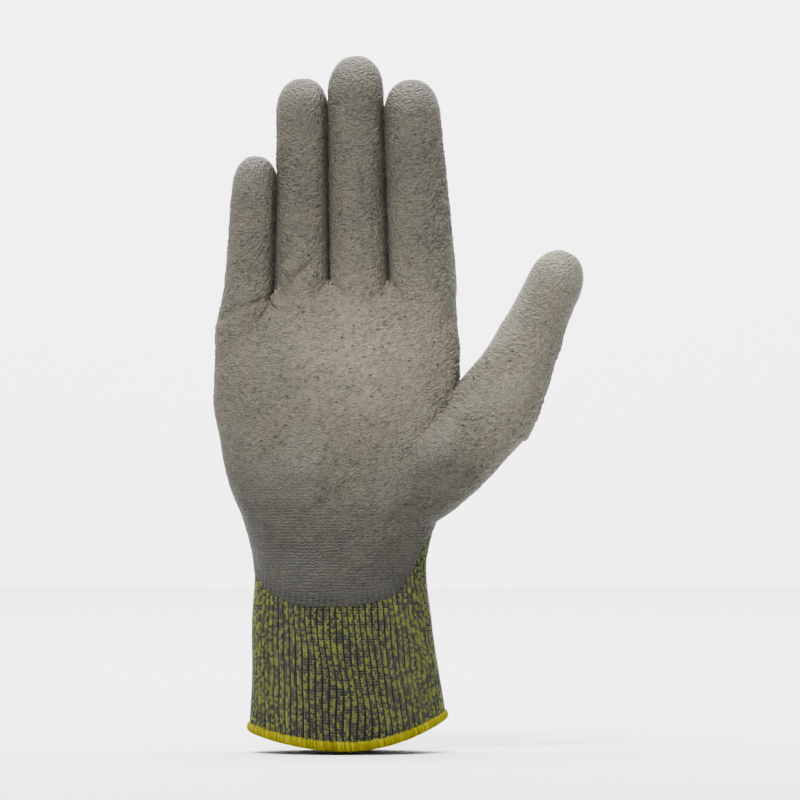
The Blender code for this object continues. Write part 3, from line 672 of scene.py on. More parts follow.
# %% Sides that press on each other
CLOSE_GAP, CROOK = 0.34 * MM, 0.33 * MM     # the gap's width, and how far its front half is shifted
GAP_SEEN, GAP_FILLED = 5.5 * MM, 3.8 * MM   # rays look this far; the crotches are filled this far
FREE_SIDE = {"index": 0.4 * MM, "little": 0.3 * MM}
EDGE_FILL = np.array([       # height and width added at the little finger's side of the hand
    (131, 0), (138, 1.5), (143, 2.9), (147, 3.4), (152, 2.6), (158, 1.0), (166, 0)]) * MM
tree = BVHTree.FromPolygons(co.tolist(), faces.tolist())
spread = np.zeros_like(co)
for k, digit in enumerate(DIGITS[:4]):
    x, y, s = digit.local(co)
    wide = digit.halves(np.clip(s, 0, digit.length / 2))[0]
    for side in (-1, 1):
        way = digit.axis * side
        on_side = (digit_of == k) & (x * side > 0)
        crest = on_side & (s > -12 * MM) & (np.abs(y) < 2.5 * MM) & (normals @ way > 0.9)
        crest = np.nonzero(crest)[0]
        ray = Vector(way)
        far = [tree.ray_cast(Vector(co[i]) + ray * 0.1 * MM, ray, GAP_SEEN)[3] for i in crest]
        met = np.array([(s[i], gap) for i, gap in zip(crest, far) if gap is not None]).reshape(-1, 2)
        full = np.clip(np.abs(x) / wide, 0, 1)
        if len(met) > 200:
            marks = np.arange(met[:, 0].min(), met[:, 0].max(), 1.5 * MM)
            gaps = [np.median(met[np.abs(met[:, 0] - mark) < 1.6 * MM, 1]) for mark in marks]
            most = np.where(marks < 20 * MM, GAP_FILLED, 1.15 * np.median(met[:, 1]))
            gap = np.interp(s, marks, np.minimum(gaps, most))
            beside = step((s - marks[0] + 3 * MM) / (3 * MM))
            fill = np.maximum(gap / 2 - CLOSE_GAP / 2 - FILM_THICK, 0) * beside
            crowd = step((full - 0.7) / 0.25) * beside * step((marks[-1] + 3 * MM - s) / (4 * MM))
            crook = CROOK * np.clip(y / (1.5 * MM), -1, 1) * np.sign(way[0]) * crowd
            rise = np.where(on_side, mix(rise, coated * FILM_THICK, crowd), rise)
        else:
            fill, crook = FREE_SIDE[digit.name] * step((s + 12 * MM) / (14 * MM)), 0.0
        spread += np.where(on_side, fill * full**1.5 + crook, 0.0)[:, None] * way
heel_side = np.interp(co[:, 2], EDGE_FILL[:, 0], EDGE_FILL[:, 1]) * step((-co[:, 0] - 33 * MM) / (8 * MM))
co = co + spread - heel_side[:, None] * (1, 0, 0)
co = co + normals * rise[:, None]
put_points(skin, co)
print("sides moved out by up to, in mm", round(float(np.abs(spread).max()) / MM, 2))

# %% [markdown]
# ## Pieces of the skin
# The coating and the bare knit are different materials, so each stretch gives two pieces. The
# field's clean zero line is their shared edge. A short wall is folded in under the coating's
# edge, because the real film has a thickness there.

# %% Cut the skin into pieces
RIM_DEEP = 0.55 * MM         # the wall under the coating's edge


def values_on(obj, name, values):
    made = obj.data.attributes.new(name, "FLOAT", "POINT")
    made.data.foreach_set("value", np.asarray(values, np.float32))


def piece_from(name, chosen, fields, rim_field=None):
    """A new mesh of the chosen faces, with one value per vertex for each named field."""
    used, corner = np.unique(faces[chosen], return_inverse=True)
    mesh = bpy.data.meshes.new(name)
    mesh.from_pydata(co[used].tolist(), [], corner.reshape(-1, 3).tolist())
    obj = add_object(name, mesh)
    for field, values in fields.items():
        values_on(obj, field, values[used])
    if rim_field is not None:
        bm = bmesh.new()
        bm.from_mesh(mesh)
        bm.verts.ensure_lookup_table()
        on_edge = np.abs(rim_field[used]) < 0.12 * MM
        outward = normals[used]
        rim = [e for e in bm.edges if e.is_boundary and all(on_edge[v.index] for v in e.verts)]
        made = bmesh.ops.extrude_edge_only(bm, edges=rim)["geom"]
        source = {}
        for vert in (g for g in made if isinstance(g, bmesh.types.BMVert)):
            near = [e.other_vert(vert) for e in vert.link_edges]
            old = [v for v in near if 0 <= v.index < len(used) and (v.co - vert.co).length < 1e-9]
            if old:
                source[vert] = old[0].index
        for vert, index in source.items():
            vert.co -= Vector(outward[index]) * RIM_DEEP
        bm.to_mesh(mesh)
        bm.free()
    mesh.shade_smooth()
    return obj


RIB_TOP = 72 * MM            # the ribs give way to plain knit here
GROUND_LOW = 71.5 * MM
side_shade_and_thin_dip = 1 - step((film - 1 * MM) / (8 * MM))           # painted shade towards the coating's edge along the sides, where the dip also runs thinner
across, tall = co[:, 0] / MM, co[:, 2] / MM


def soft_spot(x, z, half_x, half_z):
    """1 at a place in front, fading to 0 round it."""
    return np.exp(-(((across - x) / half_x) ** 2) - ((tall - z) / half_z) ** 2)


# painted highlight in the palm's middle and on the thumb, painted shade below the ball of the thumb
pale = 0.12 + 0.88 * soft_spot(8, 142, 40, 30) + 0.45 * step((across - 40) / 18)
pale -= 0.5 * soft_spot(34, 92, 16, 12)
pale = np.clip(pale + 0.08 * soft_noise(co, 12 * MM, 93), 0, 1)
skin_fields = {"pale": pale, "grain": grain, "worn": worn, "thin": thin, "wale": wale,
               "groove": groove * rib_show, "lean": side_shade_and_thin_dip}
films, knits = {}, {}
face_height = middle_of_face[:, 2]
for number in zones:
    here = zone == number
    if number == 0:
        label = "palm"
    else:
        digit = DIGITS[number // 10 - 1]
        label = f"{digit.name}_{digit.joints[number % 10 - 1]}"
    films[label] = piece_from(f"{label}_foam_coating", here & face_film, skin_fields, film)
    bare = here & ~face_film & (face_height > GROUND_LOW)
    knits[label] = piece_from(f"{label}_knit_ground", bare, skin_fields)
print("pieces", len(films), "coatings and", len(knits), "knit grounds")
print("palm coating faces", len(films["palm"].data.polygons))

# %% [markdown]
# ## Knitting
# Plain knit is rows of V stitches: each loop shows two short legs of yarn that meet at the
# bottom. One leg is modelled from a small sphere and copied to every stitch, because real
# loops catch the light and darken between the rows as no painted pattern does.

# %% One leg of a loop
def yarn_leg(half_w, half_t, half_len):
    """The points and faces of one leg; its back is bowed towards the cloth at both ends."""
    pick()
    bpy.ops.mesh.primitive_uv_sphere_add(segments=5, ring_count=4, radius=1.0)
    leg = bpy.context.object
    shape = points_of(leg) * (half_w, half_t, half_len)
    shape[:, 1] -= 0.35 * half_t * (shape[:, 2] / half_len) ** 2
    leg_faces = [tuple(p.vertices) for p in leg.data.polygons]
    bpy.data.objects.remove(leg)
    return shape, leg_faces


def legs_mesh(name, points, fields):
    """One mesh of many legs, from a row of points and a row of values for each leg."""
    count, per = points.shape[:2]
    sizes = np.tile([len(f) for f in LEG_FACES], count)
    corners = np.concatenate(LEG_FACES) + per * np.arange(count)[:, None]
    mesh = bpy.data.meshes.new(name)
    mesh.vertices.add(count * per)
    mesh.vertices.foreach_set("co", points.astype(np.float32).ravel())
    mesh.loops.add(corners.size)
    mesh.loops.foreach_set("vertex_index", corners.ravel().astype(np.int32))
    mesh.polygons.add(len(sizes))
    mesh.polygons.foreach_set("loop_start", (np.cumsum(sizes) - sizes).astype(np.int32))
    mesh.update(calc_edges=True)
    mesh.validate()
    obj = add_object(name, mesh)
    for field, values in fields.items():
        values_on(obj, field, np.broadcast_to(values, (count, per)).ravel())
    mesh.shade_smooth()
    return obj


def stitch_legs(place, wale, course, half_wale, lean):
    """Centres and directions of both legs of the stitches at (wale, course).

    place(wale, course) gives points on the surface; its slopes give the directions."""
    parts = []
    for hand in (-1, 1):
        u, v = wale + hand * half_wale, course + 0.0 * wale
        spot = place(u, v)
        right = unit(place(u + 0.05, v) - place(u - 0.05, v))
        above = unit(place(u, v + 0.05) - place(u, v - 0.05))
        out = unit(np.cross(right, above))
        chance = cell_random(np.stack([u * 97, v * 89, 0 * u + hand], -1), 3) - 0.5
        turn = (hand * lean + WANDER * chance)[:, None]
        upward = above * np.cos(turn) + right * np.sin(turn)
        found = (spot[:, 2] > NOWHERE[2] / 2) & (np.linalg.norm(place(u + 0.5, v) - spot, axis=1) < 4 * MM)
        every = (spot, np.cross(upward, out), out, upward, wale, course, np.full(len(wale), hand))
        parts.append([value[found] for value in every])
    return [np.concatenate(group) for group in zip(*parts)]


NOWHERE = np.array((0.0, 0.0, -1.0))    # where a stitch goes that finds no skin; it is left out
WANDER = 0.16                           # how much a leg's lean differs from stitch to stitch
LEG_SHAPE, LEG_FACES = yarn_leg(0.37 * MM, 0.46 * MM, 0.82 * MM)
print("faces of one leg", len(LEG_FACES))

# %% [markdown]
# ## The ribbed cuff
# The cuff is a rib: columns of loops stand out and the columns between them sink in, so the cuff
# stretches over the hand and grips the wrist. Elastic pulls the columns close, the gaps
# between them are dark, and the columns sway a little. The yarn is a blend of lime and grey
# fibre, so its colour breaks from stitch to stitch.

# %% Columns of loops
def on_cuff(columns, out):
    """Places on the cuff from column and course numbers, with the sway of the columns."""
    def place(u, v):
        z = v * COURSE_H
        hold = step(z / (60 * MM))
        sway = 0.26 * np.sin(z / (7.5 * MM) + u * 0.30) * (1 - hold) + 0.10 * np.sin(z / (4.1 * MM) + u * 0.7)
        sway = sway - 0.7 * (1 - hold) * np.sin(2 * math.pi * u / columns)
        angle = angle_at((u + sway * columns / RIBS) / columns, z)
        spot = hand_points(z, angle, out)
        spot[:, 2] += hem_lift(spot[:, 0], z)
        return spot
    return place


def yarn_tones(wale, course, hand, seed):
    """How lime a leg is: single stitches differ, and so do stretches of the yarn."""
    key = np.stack([wale, course, hand], axis=-1)
    single = cell_random(np.round(key * 2), seed)
    stretch = cell_random(np.floor(np.stack([wale / 2 + course * 3.1, course, 0 * hand], -1)), seed + 1)
    patch = soft_noise(np.stack([wale * 0.9, course * 0.35, 0 * hand], -1), 2.4, seed + 2) * 0.5 + 0.5
    return 0.74 * single + 0.12 * stretch + 0.14 * patch


def knit_piece(name, place, stitches, keep, seed, shape, half_wale, lean, sink=0.0):
    """Copies both legs of a loop to every stitch whose place is kept."""
    placed = stitch_legs(place, *stitches, half_wale, lean)
    stay = keep(placed[0])
    spot, across, out, up, wale, course, hand = (values[stay] for values in placed)
    chance = cell_random(np.stack([wale * 2 + hand, course, 0 * course + 5], -1), 9) - 0.5
    spot = spot + out * (chance * 0.10 * MM - sink)[:, None]
    points = sum(shape[:, k][:, None] * way[:, None] for k, way in enumerate((across, out, up)))
    fields = {"tone": yarn_tones(wale, course, hand, seed)[:, None],
              "depth": shape[:, 1] / np.abs(shape[:, 1]).max()}
    return legs_mesh(name, points + spot[:, None], fields)


def grid_of(wales, courses):
    """Every stitch of a patch, as its wale and its course."""
    w, c = np.meshgrid(np.asarray(wales, float), np.asarray(courses, float), indexing="ij")
    return w.ravel(), c.ravel()


def below_coating(spot):
    """True for ribs in front of the coating's edge or only a little way under it."""
    return (film_field(spot)[0] < 1.2 * MM) & (spot[:, 2] < RIB_TOP + 4 * MM)


RIB_KNIT = {"shape": LEG_SHAPE, "half_wale": 0.17, "lean": math.radians(32)}
cuff_place = on_cuff(RIBS, -0.05 * MM)
rib_courses = np.arange(2, int((RIB_TOP + 2 * MM) / COURSE_H))
ribs_front, ribs_back = (
    knit_piece(f"cuff_ribs_{side}", cuff_place, grid_of(columns, rib_courses), below_coating, seed, **RIB_KNIT)
    for side, columns, seed in (("front", range(RIBS // 2, RIBS), 11), ("back", range(RIBS // 2), 12)))
print("loops in front", len(ribs_front.data.vertices) // len(LEG_SHAPE) // 2)

# %% [markdown]
# ## The cloth between and behind the ribs
# Through the gaps between the columns one sees the sunken loops, and through the mouth the
# inside of the cuff. One tube with a wall gives both: its outer face lies under the ribs and
# its inner face is the cuff's lining side.

# %% The cuff's ground
def turn_outward(mesh):
    bm = bmesh.new()
    bm.from_mesh(mesh)
    bmesh.ops.recalc_face_normals(bm, faces=bm.faces[:])
    bm.to_mesh(mesh)
    bm.free()
    mesh.shade_smooth()


def round_cuff(share, z, out):
    """Places round the cuff, with the rise of the mouth's edge."""
    spot = hand_points(z, angle_at(share, z), out)
    spot[:, 2] += hem_lift(spot[:, 0], z)
    return spot


def ring_rows(name, profile, sides):
    """A closed band whose section is the profile of (out, height) pairs, run round the cuff."""
    share = np.arange(sides) / sides
    count = len(profile)
    points = np.concatenate([round_cuff(share, np.full(sides, z), out) for out, z in profile])
    quads = [(i * sides + j, i * sides + (j + 1) % sides,
              ((i + 1) % count) * sides + (j + 1) % sides, ((i + 1) % count) * sides + j)
             for i in range(count) for j in range(sides)]
    mesh = bpy.data.meshes.new(name)
    mesh.from_pydata(points.tolist(), [], quads)
    turn_outward(mesh)
    return add_object(name, mesh)


GROUND_OUT, GROUND_IN = -0.42 * MM, -1.6 * MM       # both faces, from the former's outline
ground_rows = np.linspace(1.2, 90, 32) * MM
ground_profile = [(GROUND_OUT, z) for z in ground_rows] + [(GROUND_IN, z) for z in ground_rows[::-1]]
cuff_ground = ring_rows("cuff_ground", ground_profile, RIBS * 2)
print("cuff ground faces", len(cuff_ground.data.polygons))

# %% [markdown]
# ## The overlocked edge
# An overlock machine wraps thread round the cut edge so closely that it becomes a yellow cord.
# A plain band gives its body, and a few hundred slanted wraps of thread lie on it. Each wrap
# is a thin tube along a path from the outside, under the edge, to the inside.

# %% Band and wraps
HEM_BODY = [(0.55, 0.5), (0.62, 1.6), (0.48, 2.7), (0.1, 3.1), (-0.4, 2.9),
            (-1.5, 2.9), (-2.0, 3.1), (-2.35, 2.6), (-2.5, 1.5), (-2.3, 0.5), (-1.6, 0.0), (-0.3, 0.0)]
hem_band = ring_rows("hem_band", [(out * MM, z * MM) for out, z in HEM_BODY], 180)
WRAPS, THREAD, SLANT = 330, 0.30 * MM, 0.9 * MM     # how many, their radius and their slant
MOUTH_ROUND = 190 * MM
WRAP_PATH = np.array([      # out and height of one wrap, from the outside under the edge and in
    (0.28, 3.15), (0.62, 2.75), (0.86, 1.9), (0.86, 0.95), (0.5, 0.2), (-0.4, -0.12),
    (-1.5, -0.12), (-2.3, 0.35), (-2.6, 1.4), (-2.3, 2.6)]) * MM


def thread_wraps(name, count, path, radius, sides=5):
    """Many short tubes along the path, shared out evenly round the mouth."""
    steps = len(path)
    number = np.arange(count)

    def chance(row, layer, seed):
        return cell_random(np.stack([number, 0 * number + row, 0 * number + layer], -1), seed)

    around = (number + 0.35 * (chance(0, 0, 21) - 0.5)) / count
    tall = 1 + 0.16 * (chance(1, 0, 22) - 0.5)
    centre = []
    for k, (out, z) in enumerate(path):
        height = np.where(z > 1.5 * MM, z * tall, z)
        centre.append(round_cuff(around + SLANT * (k / (steps - 1) - 0.5) / MOUTH_ROUND, height, out))
    centre = np.stack(centre, axis=1)
    along = unit(np.gradient(centre, axis=1))
    beside = np.roll(centre, -1, axis=0) - centre
    beside = unit(beside - (beside * along).sum(axis=2)[..., None] * along)
    lift = np.cross(along, beside)
    thick = np.full((steps, 1), radius)
    thick[0] = thick[-1] = 0.45 * radius
    angles = [2 * math.pi * j / sides for j in range(sides)]
    made = [centre + (beside * math.cos(a) + lift * math.sin(a)) * thick for a in angles]
    points = np.stack(made, axis=2).reshape(-1, 3)
    per = steps * sides
    one = [(k + j, k + (j + 1) % sides, k + sides + (j + 1) % sides, k + sides + j)
           for k in range(0, per - sides, sides) for j in range(sides)]
    ends = [tuple(range(sides))[::-1], tuple(range(per - sides, per))]
    every = [tuple(c + n * per for c in face) for n in range(count) for face in one + ends]
    mesh = bpy.data.meshes.new(name)
    mesh.from_pydata(points.tolist(), [], every)
    obj = add_object(name, mesh)
    values_on(obj, "tone", np.repeat(chance(0, 3, 23), per))
    turn_outward(mesh)
    return obj


hem_wraps = thread_wraps("hem_thread_wraps", WRAPS, WRAP_PATH, THREAD)
print("wrap faces", len(hem_wraps.data.polygons))

# %% [markdown]
# ## Bare knit on the back
# The back of hand and fingers is plain knit: every column of loops stands equally high. The
# same leg is copied along rows that run round the hand and round each finger, and each stitch
# is set down on the skin by looking outward from inside the hand until the skin is met.

# %% Stitches on the back
tree = BVHTree.FromPolygons(co.tolist(), faces.tolist())
KNIT_WALES, KNIT_COURSE, WALE_WIDE = 96, 1.36 * MM, 1.98 * MM
RAY_REACH = 40 * MM
EDGE_OVER = 0.15 * MM        # stitches run this far under the coating's edge
JERSEY_SHAPE = yarn_leg(0.50 * MM, 0.36 * MM, 1.10 * MM)[0]
JERSEY_KNIT = {"shape": JERSEY_SHAPE, "half_wale": 0.245, "lean": math.radians(24), "sink": 0.12 * MM}


def outward_to_skin(origin, target):
    """Where a line from inside through the target leaves the skin."""
    found = np.tile(NOWHERE, (len(target), 1))
    for k, way in enumerate(unit(target - origin)):
        hit, normal = tree.ray_cast(Vector(origin[k]), Vector(way), RAY_REACH)[:2]
        if hit is not None and normal.dot(Vector(way)) > 0.1:
            found[k] = hit
    return found


def on_hand(u, v):
    """Places on the hand's skin; the lines start inside, close to its flat middle."""
    z = v * KNIT_COURSE
    angle = angle_at(u / KNIT_WALES, z)
    target = hand_points(z, angle, FORMER_OUT)
    middle = section(z)[0]
    origin = np.stack([middle + (target[:, 0] - middle) * 0.8, target[:, 1] * 0.15, z], axis=-1)
    return outward_to_skin(origin, target)


def on_digit(digit, wales):
    """Places on a finger's skin; the lines start from its middle."""
    def place(u, v):
        s = v * KNIT_COURSE
        angle = 2 * math.pi * u / wales
        wide, deep = digit.halves(np.clip(s, 0, None))
        x, y = oval(angle, wide, deep, FINGER_ROUND)
        return outward_to_skin(digit.place(0.0 * s, 0.0 * s, s), digit.place(x, y, s))
    return place


def thumb_ground(points):
    """True where the thumb's own rows run, from the ball of the thumb on."""
    x, _, s = THUMB.local(points)
    edge = section(np.clip(points[:, 2], 0, WEB_Z))
    return (x > -15 * MM) & (s > -36 * MM) & (points[:, 0] > edge[0] + edge[1] - 5 * MM)


def bare_hand(spot):
    field, digit_index, s = film_field(spot)
    on_finger = (digit_index >= 0) & (digit_index < 4) & (s > -6 * MM)
    return (field < EDGE_OVER) & ~on_finger & ~thumb_ground(spot)


def bare_digit(k):
    def keep(spot):
        field, digit_index, s = film_field(spot)
        if DIGITS[k] is THUMB:
            own = (thumb_ground(spot) | (s > 0)) & ((digit_index == k) | (s < 0))
        else:
            own = (digit_index == k) & (s > -6.4 * MM)
        return (field < EDGE_OVER) & own
    return keep


back_courses = np.arange(int(RIB_TOP / KNIT_COURSE), int((WEB_Z + 4 * MM) / KNIT_COURSE))
hand_legs = knit_piece("hand_loops", on_hand, grid_of(np.arange(-4, KNIT_WALES // 2 + 5), back_courses),
                       bare_hand, 13, **JERSEY_KNIT)
leg_sets = {"palm": [hand_legs]}
per = len(JERSEY_SHAPE)
print("hand loops", len(hand_legs.data.vertices) // per)
for k, digit in enumerate(DIGITS):
    wales = int(round(math.pi * (digit.root_w + digit.tip_w) / 2 / WALE_WIDE))
    low = -44 * MM if digit is THUMB else -9 * MM
    rows = np.arange(int(low / KNIT_COURSE), int((digit.length - THIMBLE) / KNIT_COURSE) + 1)
    stitches = grid_of(np.arange(-3, wales // 2 + 4), rows)
    loops = knit_piece(f"{digit.name}_loops", on_digit(digit, wales), stitches, bare_digit(k), 14 + k,
                       **JERSEY_KNIT)
    points = points_of(loops).reshape(-1, per, 3)
    stored = {name: read(loops.data.attributes[name].data, "value", 1).reshape(-1, per)
              for name in ("tone", "depth")}
    s = digit.local(points.mean(axis=1))[2]
    stretch = sum((s > split * MM).astype(int) for split in digit.splits)
    for number in np.unique(stretch):
        here = stretch == number
        fields = {name: values[here] for name, values in stored.items()}
        label = f"{digit.name}_{digit.joints[number - 1]}" if number else "palm"
        leg_sets.setdefault(label, []).append(legs_mesh(f"{label}_loops", points[here], fields))
    bpy.data.objects.remove(loops)
print("loop sets", {label: len(objs) for label, objs in leg_sets.items()})

# %% [markdown]
# ## Materials
# The shader maths is written as plain expressions. The small class below holds one value of a
# material's nodes; adding or multiplying two of them adds a Math node, and `node` adds any other
# node. Every pattern reads Object coordinates or a value stored on the mesh, so it stays with the
# cloth when the hand closes.

# %% Expressions for shader nodes
class Value:
    """A number, colour or vector that flows through a material's nodes."""

    def __init__(self, tree, socket):
        self.tree, self.socket = tree, socket

    def math(self, operation, a, b=None):
        made = self.tree.nodes.new("ShaderNodeMath")
        made.operation = operation
        for slot, value in zip(made.inputs, (a, b)):
            connect(self.tree, slot, value)
        return Value(self.tree, made.outputs[0])

    def __add__(self, other):
        return self.math("ADD", self, other)

    def __sub__(self, other):
        return self.math("SUBTRACT", self, other)

    def __rsub__(self, other):
        return self.math("SUBTRACT", other, self)

    def __mul__(self, other):
        return self.math("MULTIPLY", self, other)

    def __truediv__(self, other):
        return self.math("DIVIDE", self, other)

    __radd__ = __add__
    __rmul__ = __mul__

    def apply(self, operation):
        return self.math(operation, self)

    def clamp(self):
        return self.math("MINIMUM", self.math("MAXIMUM", self, 0.0), 1.0)

    def above(self, low, high):
        """0 below low, 1 above high."""
        return ((self - low) / (high - low)).clamp()


def connect(tree, slot, value):
    if isinstance(value, Value):
        tree.links.new(value.socket, slot)
    elif value is not None:
        slot.default_value = value


class Finish:
    """One material, with its Principled shader."""

    def __init__(self, name, rough, **constants):
        self.material = bpy.data.materials.new(name)
        self.material.use_nodes = True
        self.tree = self.material.node_tree
        self.shader = next(n for n in self.tree.nodes if n.type == "BSDF_PRINCIPLED")
        self.shader.inputs["Roughness"].default_value = rough
        for key, value in constants.items():
            self.shader.inputs[key.replace("_", " ")].default_value = value
        self.place = self.node("ShaderNodeTexCoord", output="Object")

    def node(self, kind, settings=None, output=0, **sockets):
        made = self.tree.nodes.new(kind)
        for key, value in (settings or {}).items():
            if key == "stops":
                ramp = made.color_ramp
                while len(ramp.elements) < len(value):
                    ramp.elements.new(0.5)
                for element, (at, colour) in zip(ramp.elements, value):
                    element.position, element.color = at, (*colour, 1.0)
            else:
                setattr(made, key, value)
        for key, value in sockets.items():
            key = int(key[1:]) if key[0] == "_" and key[1:].isdigit() else key.replace("_", " ")
            connect(self.tree, made.inputs[key], value)
        return Value(self.tree, made.outputs[output])

    def stored(self, name):
        return self.node("ShaderNodeAttribute", {"attribute_name": name}, output="Fac")

    def noise(self, size, detail=2.0, rough=0.5, seed=0.0):
        return self.node("ShaderNodeTexNoise", {"noise_dimensions": "4D"}, output="Fac", Vector=self.place,
                         W=seed, Scale=1.0 / size, Detail=detail, Roughness=rough)

    def grains(self, size, seed=0.0):
        return self.node("ShaderNodeTexVoronoi", {"voronoi_dimensions": "4D"}, output="Distance",
                         Vector=self.place, W=seed, Scale=1.0 / size)

    def blend(self, share, a, b, how="MIX"):
        made = self.tree.nodes.new("ShaderNodeMix")
        made.data_type, made.blend_type = "RGBA", how
        for slot, value in zip((made.inputs[0], made.inputs[6], made.inputs[7]), (share, a, b)):
            connect(self.tree, slot, (*value, 1.0) if isinstance(value, tuple) else value)
        return Value(self.tree, made.outputs[2])

    def set(self, **sockets):
        for key, value in sockets.items():
            connect(self.tree, self.shader.inputs[key.replace("_", " ")], value)
        return self

    def bump(self, height, distance, strength=1.0):
        self.set(Normal=self.node("ShaderNodeBump", output="Normal", Strength=strength, Distance=distance,
                                  Height=height))
        return self


def paint(r, g, b):
    """A colour given as 0 to 255 screen values, as the shader's linear one."""
    def line(c):
        c /= 255
        return c / 12.92 if c <= 0.04045 else ((c + 0.055) / 1.055) ** 2.4
    return line(r), line(g), line(b)


print("mid grey is", [round(c, 3) for c in paint(140, 135, 124)])

# %% [markdown]
# The coating is foamed nitrile: matt, warm grey, with fine grains and here and there an open pore.
# The grains' tops are painted lighter and the hollows between them and the pores darker, as painted
# light and shade. Where hands and machines rub it, it is a little lighter. Close to the cuff it is thin,
# so the rows of the knit show through as darker lines. A painted highlight lies on the palm's middle and
# the thumb, and painted shade below the ball of the thumb, along the sides and in the rib grooves.

# %% The coating's finish
foam = Finish("foam_coating", 0.62, Specular_IOR_Level=0.3)
z_height = foam.node("ShaderNodeSeparateXYZ", output="Z", Vector=foam.place)
foam.place = foam.node("ShaderNodeVectorMath", {"operation": "MULTIPLY"},    # wider than tall
                       _0=foam.place, _1=(0.8, 1.0, 1.2))
grain_v, worn_v, thin_v = foam.stored("grain"), foam.stored("worn"), foam.stored("thin")
fine = foam.noise(0.6 * MM, 3.0, 0.6, 1.0)
cells = foam.grains(0.85 * MM, 2.0)
pores = foam.grains(2.0 * MM, 3.0)
pore = (1 - pores.above(0.13, 0.25)) * (1 - worn_v)
patches = foam.noise(14 * MM, 3.0, 0.55, 4.0)
tint = foam.noise(9 * MM, 2.0, 0.5, 7.0)
# lighter on the grains' tops and darker in their hollows, following the bumps: painted light and shade; the
# patches are random mottling
tone = (grain_v * 0.4 + (fine - 0.5) * 0.5 + (0.45 - cells) * 0.35 + (patches - 0.5) * 0.3 + 0.5).clamp()
colour = foam.blend(tone, paint(30, 29, 23), paint(97, 92, 78))
colour = foam.blend(tint.above(0.35, 0.65) * 0.25, colour, paint(94, 85, 72))
colour = foam.blend(worn_v * 0.4, colour, paint(89, 85, 74))
# multiplies in the painted highlight on the palm's middle and the thumb and the painted shade below the ball of
# the thumb
colour = foam.blend(1.0, colour, foam.stored("pale") * 0.95 + 0.48, "MULTIPLY")
half = foam.stored("wale").apply("FRACT")
chevron = (half * 2 - 1).apply("ABSOLUTE")
course_at = z_height / (1.1 * MM) + chevron * 0.2 + (foam.noise(10 * MM, 2.0, 0.5, 9.0) - 0.5) * 1.6
row = (course_at * (2 * math.pi)).apply("SINE") * 0.5 + 0.5
show = thin_v * (foam.noise(6 * MM, 2.0, 0.5, 12.0).above(0.3, 0.6) * 0.4 + 0.6)
knit_row = foam.blend((row * 0.7 + fine * 0.35).clamp(), paint(9, 9, 6), paint(44, 42, 34))
colour = foam.blend(show * 0.95, colour, knit_row)
# painted shade along the sides, towards the coating's edge, where the dip also runs thinner
colour = foam.blend(foam.stored("lean") * 0.7, colour, paint(32, 31, 25))
# painted shade in the grooves between the ribs under the thin coating, where the dark knit also shows through
colour = foam.blend(foam.stored("groove") * 0.8, colour, paint(14, 14, 12))
# painted shade in the open pores
colour = foam.blend(pore * 0.8, colour, paint(16, 15, 13))
foam.set(Base_Color=colour, Roughness=0.66 - worn_v * 0.18)
foam.bump(fine * 0.5 + (1 - cells) * 0.8 - pore * 0.6 + row * show * 0.3, 1.15 * MM, 1.0)

# %% [markdown]
# The yarn is spun from lime and grey fibres. Each leg of a loop has its own stored tone, and fine
# noise along it breaks it into fibres. The side of each leg that faces into the knit is painted darker, as
# painted shade.

# %% Yarn, ground and thread
def yarn_finish(name, dark, middle, light, low, high, bump_size):
    made = Finish(name, 0.85, Specular_IOR_Level=0.25, Sheen_Weight=0.15, Sheen_Roughness=0.5)
    fibre = made.noise(bump_size, 3.0, 0.65, 11.0)
    tone = made.stored("tone") + (fibre - 0.5) * 2.4
    ramp = made.node("ShaderNodeValToRGB", {"stops": [(0.0, dark), (low, middle), (high, light), (1.0, light)]},
                     output="Color", Fac=tone.clamp())
    # painted shade: the side of each leg that faces into the cloth is blended 55 % towards black
    sunk = (made.stored("depth") * 0.5 + 0.5).above(0.0, 0.7)
    made.set(Base_Color=made.blend(sunk, made.blend(0.55, ramp, (0.01, 0.01, 0.008)), ramp))
    made.bump(fibre, 0.12 * MM, 0.7)
    return made


lime_yarn = yarn_finish("lime_grey_yarn", paint(3, 3, 2), paint(28, 28, 19), paint(78, 84, 5),
                        0.50, 0.72, 0.5 * MM)
# the ground stands for the same knit as the loops, painted near black without lime, as painted shade in the
# gaps between the loops and inside the cuff
ground = Finish("knit_ground", 0.9, Specular_IOR_Level=0.2)
speck = ground.noise(0.9 * MM, 2.0, 0.6, 21.0)
ground.set(Base_Color=ground.blend(speck.above(0.3, 0.75), paint(5, 5, 4), paint(18, 19, 12)))
ground.bump(speck, 0.2 * MM, 0.6)
hem_yarn = Finish("yellow_overlock_thread", 0.9, Specular_IOR_Level=0.08)
strand = hem_yarn.noise(0.35 * MM, 2.0, 0.6, 31.0)
hem_tone = hem_yarn.stored("tone") * 0.5 + strand * 0.6
hem_yarn.set(Base_Color=hem_yarn.blend(hem_tone.above(0.25, 0.8), paint(72, 68, 0), paint(120, 114, 0)))
hem_yarn.bump(strand, 0.12 * MM, 0.6)
# the bed is the same thread as the wraps, painted darker yellow as painted shade under and between them
hem_core = Finish("yellow_thread_bed", 0.9, Specular_IOR_Level=0.08)
bed = hem_core.noise(0.6 * MM, 2.0, 0.6, 33.0)
hem_core.set(Base_Color=hem_core.blend(bed, paint(46, 42, 0), paint(84, 78, 0)))
hem_core.bump(bed, 0.15 * MM, 0.5)
print("materials", [f.material.name for f in (foam, lime_yarn, ground, hem_yarn, hem_core)])

# %% [markdown]
# ## Finishes, and the frame's parts that the pieces stand for
# Each piece takes its finish, and the frame's parts that it stands for are hidden. For each piece a
# stretch centred on its joint is worked out, long enough that the palm side wouldn't fold back on
# itself, but nothing is bent over it: the piece's transform is only baked. The hem rides on the cuff's body.

